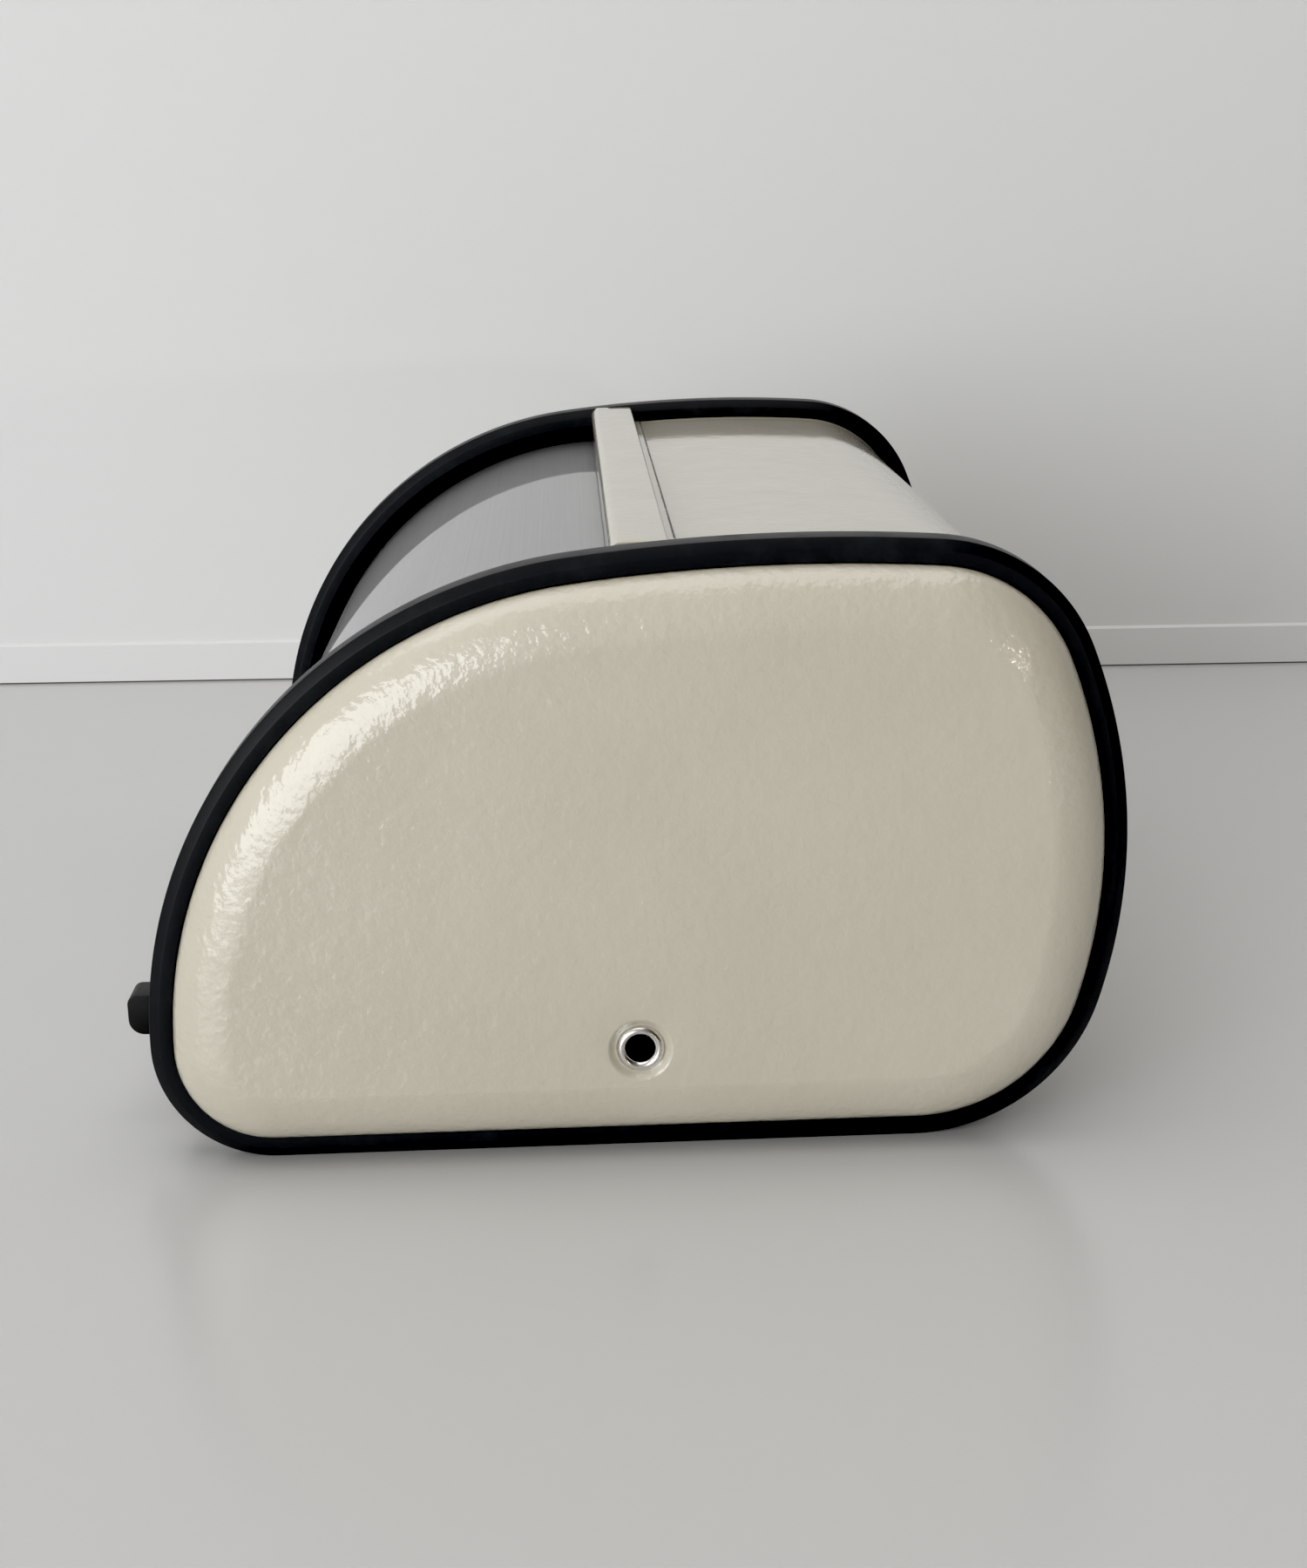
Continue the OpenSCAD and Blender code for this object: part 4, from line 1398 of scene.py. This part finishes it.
@dataclass
class Handle:
    """The handle on the lid's front: two posts, a bar, and the screws and washers inside."""

    layout: Layout
    foot_lap: float = 0.02 * MM
    edge: float = 0.4 * MM
    top_round: float = 2.5 * MM
    bottom_round: float = 4.2 * MM
    bar_edge: float = 0.6 * MM
    washer_radius: float = 4.5 * MM
    washer_thickness: float = 0.8 * MM
    washer_gap: float = 0.1 * MM
    head_radius: float = 3.8 * MM
    head_height: float = 2.2 * MM
    shank_radius: float = 2.0 * MM
    screw_play: float = 0.15 * MM
    washer_edge: float = 0.15 * MM

    def post_outline(self, post: Span) -> Section:
        """Returns a post's outline in the side view: a flat nose and a foot cut to the lid."""
        half = (post.high.z - post.low.z) / 2
        radius = self.layout.lid_radius + self.foot_lap
        sweep = math.degrees(math.asin(half / radius))
        above, below = self.top_round, self.bottom_round
        nose = bend(post.low.y + above, post.high.z - above, above, 90, 180, 10)
        nose += bend(post.low.y + below, post.low.z + below, below, 180, 270, 14)
        return nose + bend(self.layout.pivot_y, self.layout.pivot_z, radius, 180 + sweep, 180 - sweep, 10)

    def screw(self) -> bpy.types.Object:
        """Returns a pan-head screw with a cross recess, head towards +Z."""
        bar = Span.of("handle_bar")
        seat = self.layout.lid_radius - self.layout.sheet - self.washer_gap - self.washer_thickness
        tip = self.layout.pivot_y - bar.high.y - 2.0 * MM
        head, high, shank = self.head_radius, self.head_height, self.shank_radius
        crown = [(high * (0.45 + 0.55 * math.sin(a)), head * math.cos(a))
                 for a in (math.pi / 2 * k / 8 for k in range(9))]
        profile = [(seat - tip, 0.0), (seat - tip, shank - 0.5 * MM), (seat - tip + 0.5 * MM, shank),
                   (0.0, shank), (0.0, head)] + crown
        body = revolve("screw", profile, Vector((0, 0, 0)), Vector((0, 0, 1)), 40)
        cutter = self.cross(high)
        cut = body.modifiers.new("recess", "BOOLEAN")
        cut.operation, cut.solver, cut.object = "DIFFERENCE", "EXACT", cutter
        shape = settle(body)
        bpy.data.objects.remove(cutter)
        weld(shape.data)
        smooth(shape.data)
        return shape

    @staticmethod
    def cross(top: float) -> bpy.types.Object:
        """Returns the cutter for a cross recess, tapered to its bottom."""
        arm, half, depth = 2.2 * MM, 0.45 * MM, 1.2 * MM
        corners = [(half, half), (arm, half), (arm, -half), (half, -half)]
        askew = math.radians(4.5)
        outline = []
        for quarter in range(4):
            turn = Matrix.Rotation(askew - math.pi / 2 * quarter, 2)
            outline += [turn @ Vector(c) for c in corners[:3]]
        work = bmesh.new()
        high = [work.verts.new((p.x, p.y, top + depth)) for p in outline]
        low = [work.verts.new((p.x * 0.45, p.y * 0.45, top - depth)) for p in outline]
        work.faces.new(high)
        work.faces.new(low[::-1])
        for i, _ in enumerate(outline):
            after = (i + 1) % len(outline)
            work.faces.new((high[i], low[i], low[after], high[after]))
        bmesh.ops.recalc_face_normals(work, faces=work.faces)
        mesh = bpy.data.meshes.new("recess")
        work.to_mesh(mesh)
        work.free()
        return link("recess", mesh)

    def washer(self) -> bpy.types.Object:
        """Returns a flat washer with rounded rims, its seat on the origin."""
        rim, high, soft = self.washer_radius, self.washer_thickness, self.washer_edge
        hole = self.shank_radius + self.screw_play
        profile = [(0.0, hole), (0.0, rim - soft), (soft, rim), (high - soft, rim), (high, rim - soft),
                   (high, hole + soft), (high - soft, hole)]
        return revolve("washer", profile, Vector((0, 0, 0)), Vector((0, 0, 1)), 40)

    def build(self) -> list[Piece]:
        """Returns the handle's pieces."""
        pieces = []
        seats = []
        seat = self.layout.pivot_y - (self.layout.lid_radius - self.layout.sheet - self.washer_gap)
        for end in End:
            name = f"handle_post_{end.word}"
            post = Span.of(name)
            shape = extrude(name, self.post_outline(post), post.low.x, post.high.x, self.edge, 4)
            pieces.append(Piece(shape, Body.LID, Slot.HANDLE, (name,)))
            seats.append(Vector((post.middle.x, seat, post.middle.z)))
        bar = Span.of("handle_bar")
        radius = (bar.high.y - bar.low.y) / 2
        half, soft = bar.high.x, self.bar_edge
        profile = [(-half, 0.0), (-half, radius - soft), (soft - half, radius)]
        profile += [(h - 2 * (h / 24) * k, radius) for h in (soft - half,) for k in range(1, 24)]
        profile += [(half - soft, radius), (half, radius - soft), (half, 0.0)]
        shape = revolve("handle_bar", profile, bar.middle, Vector((1, 0, 0)), 48)
        pieces.append(Piece(shape, Body.LID, Slot.HANDLE, ("handle_bar",)))
        inward = Vector((0, 1, 0))
        heads = [(place + inward * self.washer_thickness, inward) for place in seats]
        screws = fasten("handle_screws", self.screw(), heads, Slot.RIVET)
        pieces.append(Piece(screws, Body.LID, Slot.RIVET, ("handle_screws",)))
        washers = fasten("handle_washers", self.washer(), [(p, inward) for p in seats], Slot.WASHER)
        pieces.append(Piece(washers, Body.LID, Slot.WASHER, ("handle_washers",)))
        return pieces


@dataclass
class Bumpers:
    """The rubber blocks on the sill and the rubber buttons on the back wall."""

    layout: Layout
    stop_x: float = 90.0 * MM
    block: tuple[float, float, float] = (14.0 * MM, 5.6 * MM, 3.1 * MM)
    block_edge: float = 0.7 * MM
    button_height: float = 8.0 * MM
    button_radius: float = 3.5 * MM
    button_angle: float = math.radians(-12.6)

    def blocks(self) -> bpy.types.Object:
        """Returns the pair of blocks on the sill."""
        span = Span.of("closing_bumpers")
        y, z = span.low.y, span.low.z
        deep, high = span.high.y - y, span.high.z - z
        outline = [(y, z), (y + deep, z), (y + deep, z + high), (y, z + high)]
        pair = [extrude(f"block_{end.word}", outline, end.value * self.stop_x - self.block[0] / 2,
                        end.value * self.stop_x + self.block[0] / 2, self.block_edge) for end in End]
        return join("closing_bumpers", pair)

    def button(self) -> bpy.types.Object:
        """Returns one domed button, its foot on the origin and its tip towards +Z."""
        high, radius = self.button_height, self.button_radius
        dome = [(high - 1.6 * MM * (1 - math.sin(a)), radius * (0.42 + 0.58 * math.cos(a)))
                for a in (math.pi / 2 * k / 8 for k in range(9))]
        profile = [(0.0, 0.0), (0.0, radius)] + dome + [(high, 0.0)]
        return revolve("button", profile, Vector((0, 0, 0)), Vector((0, 0, 1)), 40)

    def build(self) -> list[Piece]:
        """Returns the bumpers."""
        span = Span.of("opening_bumpers")
        aim = Vector((0, -math.cos(self.button_angle), -math.sin(self.button_angle)))
        centre = Vector((0, span.middle.y, span.middle.z)) - aim * self.button_height / 2
        seats = [(centre + Vector((end.value * self.stop_x, 0, 0)), aim) for end in End]
        buttons = fasten("opening_bumpers", self.button(), seats, Slot.BUMPER)
        return [Piece(self.blocks(), Body.BOX, Slot.BUMPER, ("closing_bumpers",)),
                Piece(buttons, Body.BOX, Slot.BUMPER, ("opening_bumpers",))]


def join(name: str, parts: Sequence[bpy.types.Object]) -> bpy.types.Object:
    """Joins several pieces into one of a given name."""
    work = bmesh.new()
    for part in parts:
        work.from_mesh(part.data)
    mesh = bpy.data.meshes.new(name)
    work.to_mesh(mesh)
    work.free()
    for part in parts:
        bpy.data.objects.remove(part)
    smooth(mesh)
    return link(name, mesh)


# ---------------------------------------------------------------------------
# Studio
# ---------------------------------------------------------------------------


@dataclass(frozen=True)
class Softbox:
    """One area light, aimed at a point."""

    name: str
    place: tuple[float, float, float]
    size: tuple[float, float]
    watts: float
    colour: Rgb = (1.0, 1.0, 1.0)
    target: tuple[float, float, float] = (0.0, 0.0, 0.08)

    def build(self) -> None:
        """Hangs the light, which the camera itself doesn't see."""
        light = bpy.data.lights.new(self.name, "AREA")
        light.shape, light.size, light.size_y = "RECTANGLE", self.size[0], self.size[1]
        light.energy, light.color = self.watts, self.colour
        lamp = link(self.name, light)
        lamp.location = self.place
        lamp.visible_camera = False
        aim = Vector(self.target) - Vector(self.place)
        lamp.rotation_euler = aim.to_track_quat("-Z", "Y").to_euler()


@dataclass
class Studio:
    """Pale floor and wall, soft light and the camera."""

    wall_x: float = -0.385
    wall_turn: float = math.radians(2.75)
    floor_half: float = 4.0
    wall_height: float = 3.0
    floor_tone: Rgb = (0.60, 0.595, 0.59)
    wall_tone: Rgb = (0.79, 0.79, 0.78)
    floor_gloss: float = 0.22
    wall_gloss: float = 0.6
    shadow_tone: Rgb = (0.10, 0.09, 0.08)
    sky_left: Rgb = (0.68, 0.685, 0.69)
    sky_right: Rgb = (0.055, 0.040, 0.026)
    sky_span: tuple[float, float] = (-0.6, 0.65)
    skirting: tuple[float, float] = (2.0 * MM, 20.0 * MM)
    joint: float = 0.9 * MM
    black_level: float = 0.015
    camera_place: tuple[float, float, float] = (0.6948, -0.0092, 0.2499)
    camera_yaw: float = math.radians(2.052)
    camera_pitch: float = math.radians(-15.883)
    camera_roll: float = math.radians(-1.113)
    camera_lens: float = 51.25
    lights: tuple[Softbox, ...] = field(default_factory=lambda: (
        Softbox("window", (1.53, -1.03, 0.48), (1.25, 1.0), 18.0, (0.96, 0.985, 1.0)),
        Softbox("ceiling", (-0.1, -0.2, 2.3), (2.6, 2.6), 30.0, (1.0, 1.0, 0.99)),
        Softbox("lamp", (1.88, 0.97, 0.20), (0.06, 0.06), 1.6, (1.0, 0.97, 0.9)),
    ))

    def surface(self, name: str, tone: Rgb, gloss: float, one_sided: bool) -> bpy.types.Material:
        """Returns a plain painted surface.

        Args:
            name: The material's name.
            tone: Its colour.
            gloss: Its roughness.
            one_sided: Whether it can be seen through from behind.

        Returns:
            The material.
        """
        build = MaterialBuilder(name)
        cloud = build.spread(build.noise(2.2, 2.0), 0.3, 0.7)
        shade = tuple(c * 0.975 for c in tone)
        build.set(Base_Color=build.blend(cloud, tone + (1.0,), shade + (1.0,)), Roughness=gloss)
        if one_sided:
            clear = build.node("ShaderNodeBsdfTransparent")
            behind = build.node("ShaderNodeNewGeometry").outputs["Backfacing"]
            mix = build.node("ShaderNodeMixShader", {0: behind, 1: build.shader.outputs[0],
                                                     2: clear.outputs[0]})
            out = next(n for n in build.tree.nodes if n.type == "OUTPUT_MATERIAL")
            build.feed(out.inputs["Surface"], mix.outputs[0])
        return build.material

    def plane(self, name: str, corners: Sequence[tuple[float, float, float]],
              material: bpy.types.Material) -> None:
        """Adds one flat part of the stage."""
        mesh = bpy.data.meshes.new(name)
        mesh.from_pydata(list(corners), [], [tuple(range(len(corners)))])
        mesh.materials.append(material)
        link(name, mesh)

    def stage(self) -> None:
        """Lays the floor and stands the wall behind the box."""
        half, high = self.floor_half, self.wall_height
        floor = [(-half, -half, 0.0), (half, -half, 0.0), (half, half, 0.0), (-half, half, 0.0)]
        self.plane("floor", floor, self.surface("pale_floor", self.floor_tone, self.floor_gloss, False))
        lean = math.tan(self.wall_turn) * half
        wall = [(self.wall_x - lean, -half, 0.0), (self.wall_x + lean, half, 0.0),
                (self.wall_x + lean, half, high), (self.wall_x - lean, -half, high)]
        paper = self.surface("pale_wall", self.wall_tone, self.wall_gloss, True)
        self.plane("wall", wall, paper)
        out, tall = self.skirting
        near, far = self.wall_x + lean + out, self.wall_x - lean + out
        low, lip = self.joint, tall - out / 2
        face = [(far, -half, low), (near, half, low), (near, half, lip), (far, -half, lip)]
        cap = [(far, -half, lip), (near, half, lip), (near - out, half, tall), (far - out, -half, tall)]
        self.plane("skirting_face", face, paper)
        self.plane("skirting_cap", cap, paper)
        shadow = self.surface("joint_shadow", self.shadow_tone, 0.8, True)
        near, far = near - out / 2, far - out / 2
        gap = [(far, -half, 0.0), (near, half, 0.0), (near, half, 2 * low), (far, -half, 2 * low)]
        self.plane("joint_line", gap, shadow)

    def sky(self) -> None:
        """Fills the room with light that falls off to the right."""
        world = bpy.data.worlds.new("room")
        bpy.context.scene.world = world
        world.use_nodes = True
        build = TreeBuilder(world.node_tree)
        back = next(n for n in build.tree.nodes if n.type == "BACKGROUND")
        aim = build.node("ShaderNodeTexCoord").outputs["Generated"]
        side = build.node("ShaderNodeSeparateXYZ", {0: aim}).outputs["Y"]
        share = build.spread(side, *self.sky_span)
        room = build.blend(share, self.sky_left + (1.0,), self.sky_right + (1.0,))
        build.feed(back.inputs["Color"], room)
        back.inputs["Strength"].default_value = 1.0

    def camera(self) -> None:
        """Sets up the camera."""
        data = bpy.data.cameras.new("camera")
        data.sensor_width, data.sensor_fit, data.lens = 36.0, "AUTO", self.camera_lens
        data.clip_start, data.clip_end = 0.01, 50.0
        camera = link("camera", data)
        camera.location = self.camera_place
        upright = Matrix.Rotation(math.pi / 2, 3, "X")
        level = Matrix.Rotation(math.pi / 2 - self.camera_yaw, 3, "Z") @ upright
        tilt = Matrix.Rotation(self.camera_pitch, 3, "X") @ Matrix.Rotation(self.camera_roll, 3, "Z")
        camera.rotation_euler = (level @ tilt).to_euler()
        bpy.context.scene.camera = camera

    def build(self) -> None:
        """Builds the whole studio."""
        self.camera()
        self.stage()
        self.sky()
        for light in self.lights:
            light.build()
        view = bpy.context.scene.view_settings
        view.view_transform, view.look, view.exposure = "Standard", "None", 0.0
        view.use_curve_mapping = True
        view.curve_mapping.black_level = (self.black_level,) * 3
        view.curve_mapping.update()


def main() -> None:
    """Builds the bread box, piece by piece, and the studio round it."""
    logging.basicConfig(level=logging.INFO, format="%(message)s")
    layout = Layout.read()
    outline = SideOutline(layout.pivot_y, layout.pivot_z)
    assemblies = (EdgeTrims(layout, outline), EndPanels(layout, outline), BodyShell(layout, outline),
                  TopRail(layout, outline), RollLid(layout), LidArms(layout), Pivots(layout),
                  Handle(layout), Bumpers(layout))
    for assembly in assemblies:
        for piece in assembly.build():
            piece.enter()
    for end in End:
        dress_node(f"pivot_spacer_{end.word}", Slot.NYLON)
        dress_node(f"pivot_washer_{end.word}", Slot.WASHER)
    dress_node("front_sill", Slot.ENAMEL)
    Studio().build()


if __name__ == "__main__":
    main()
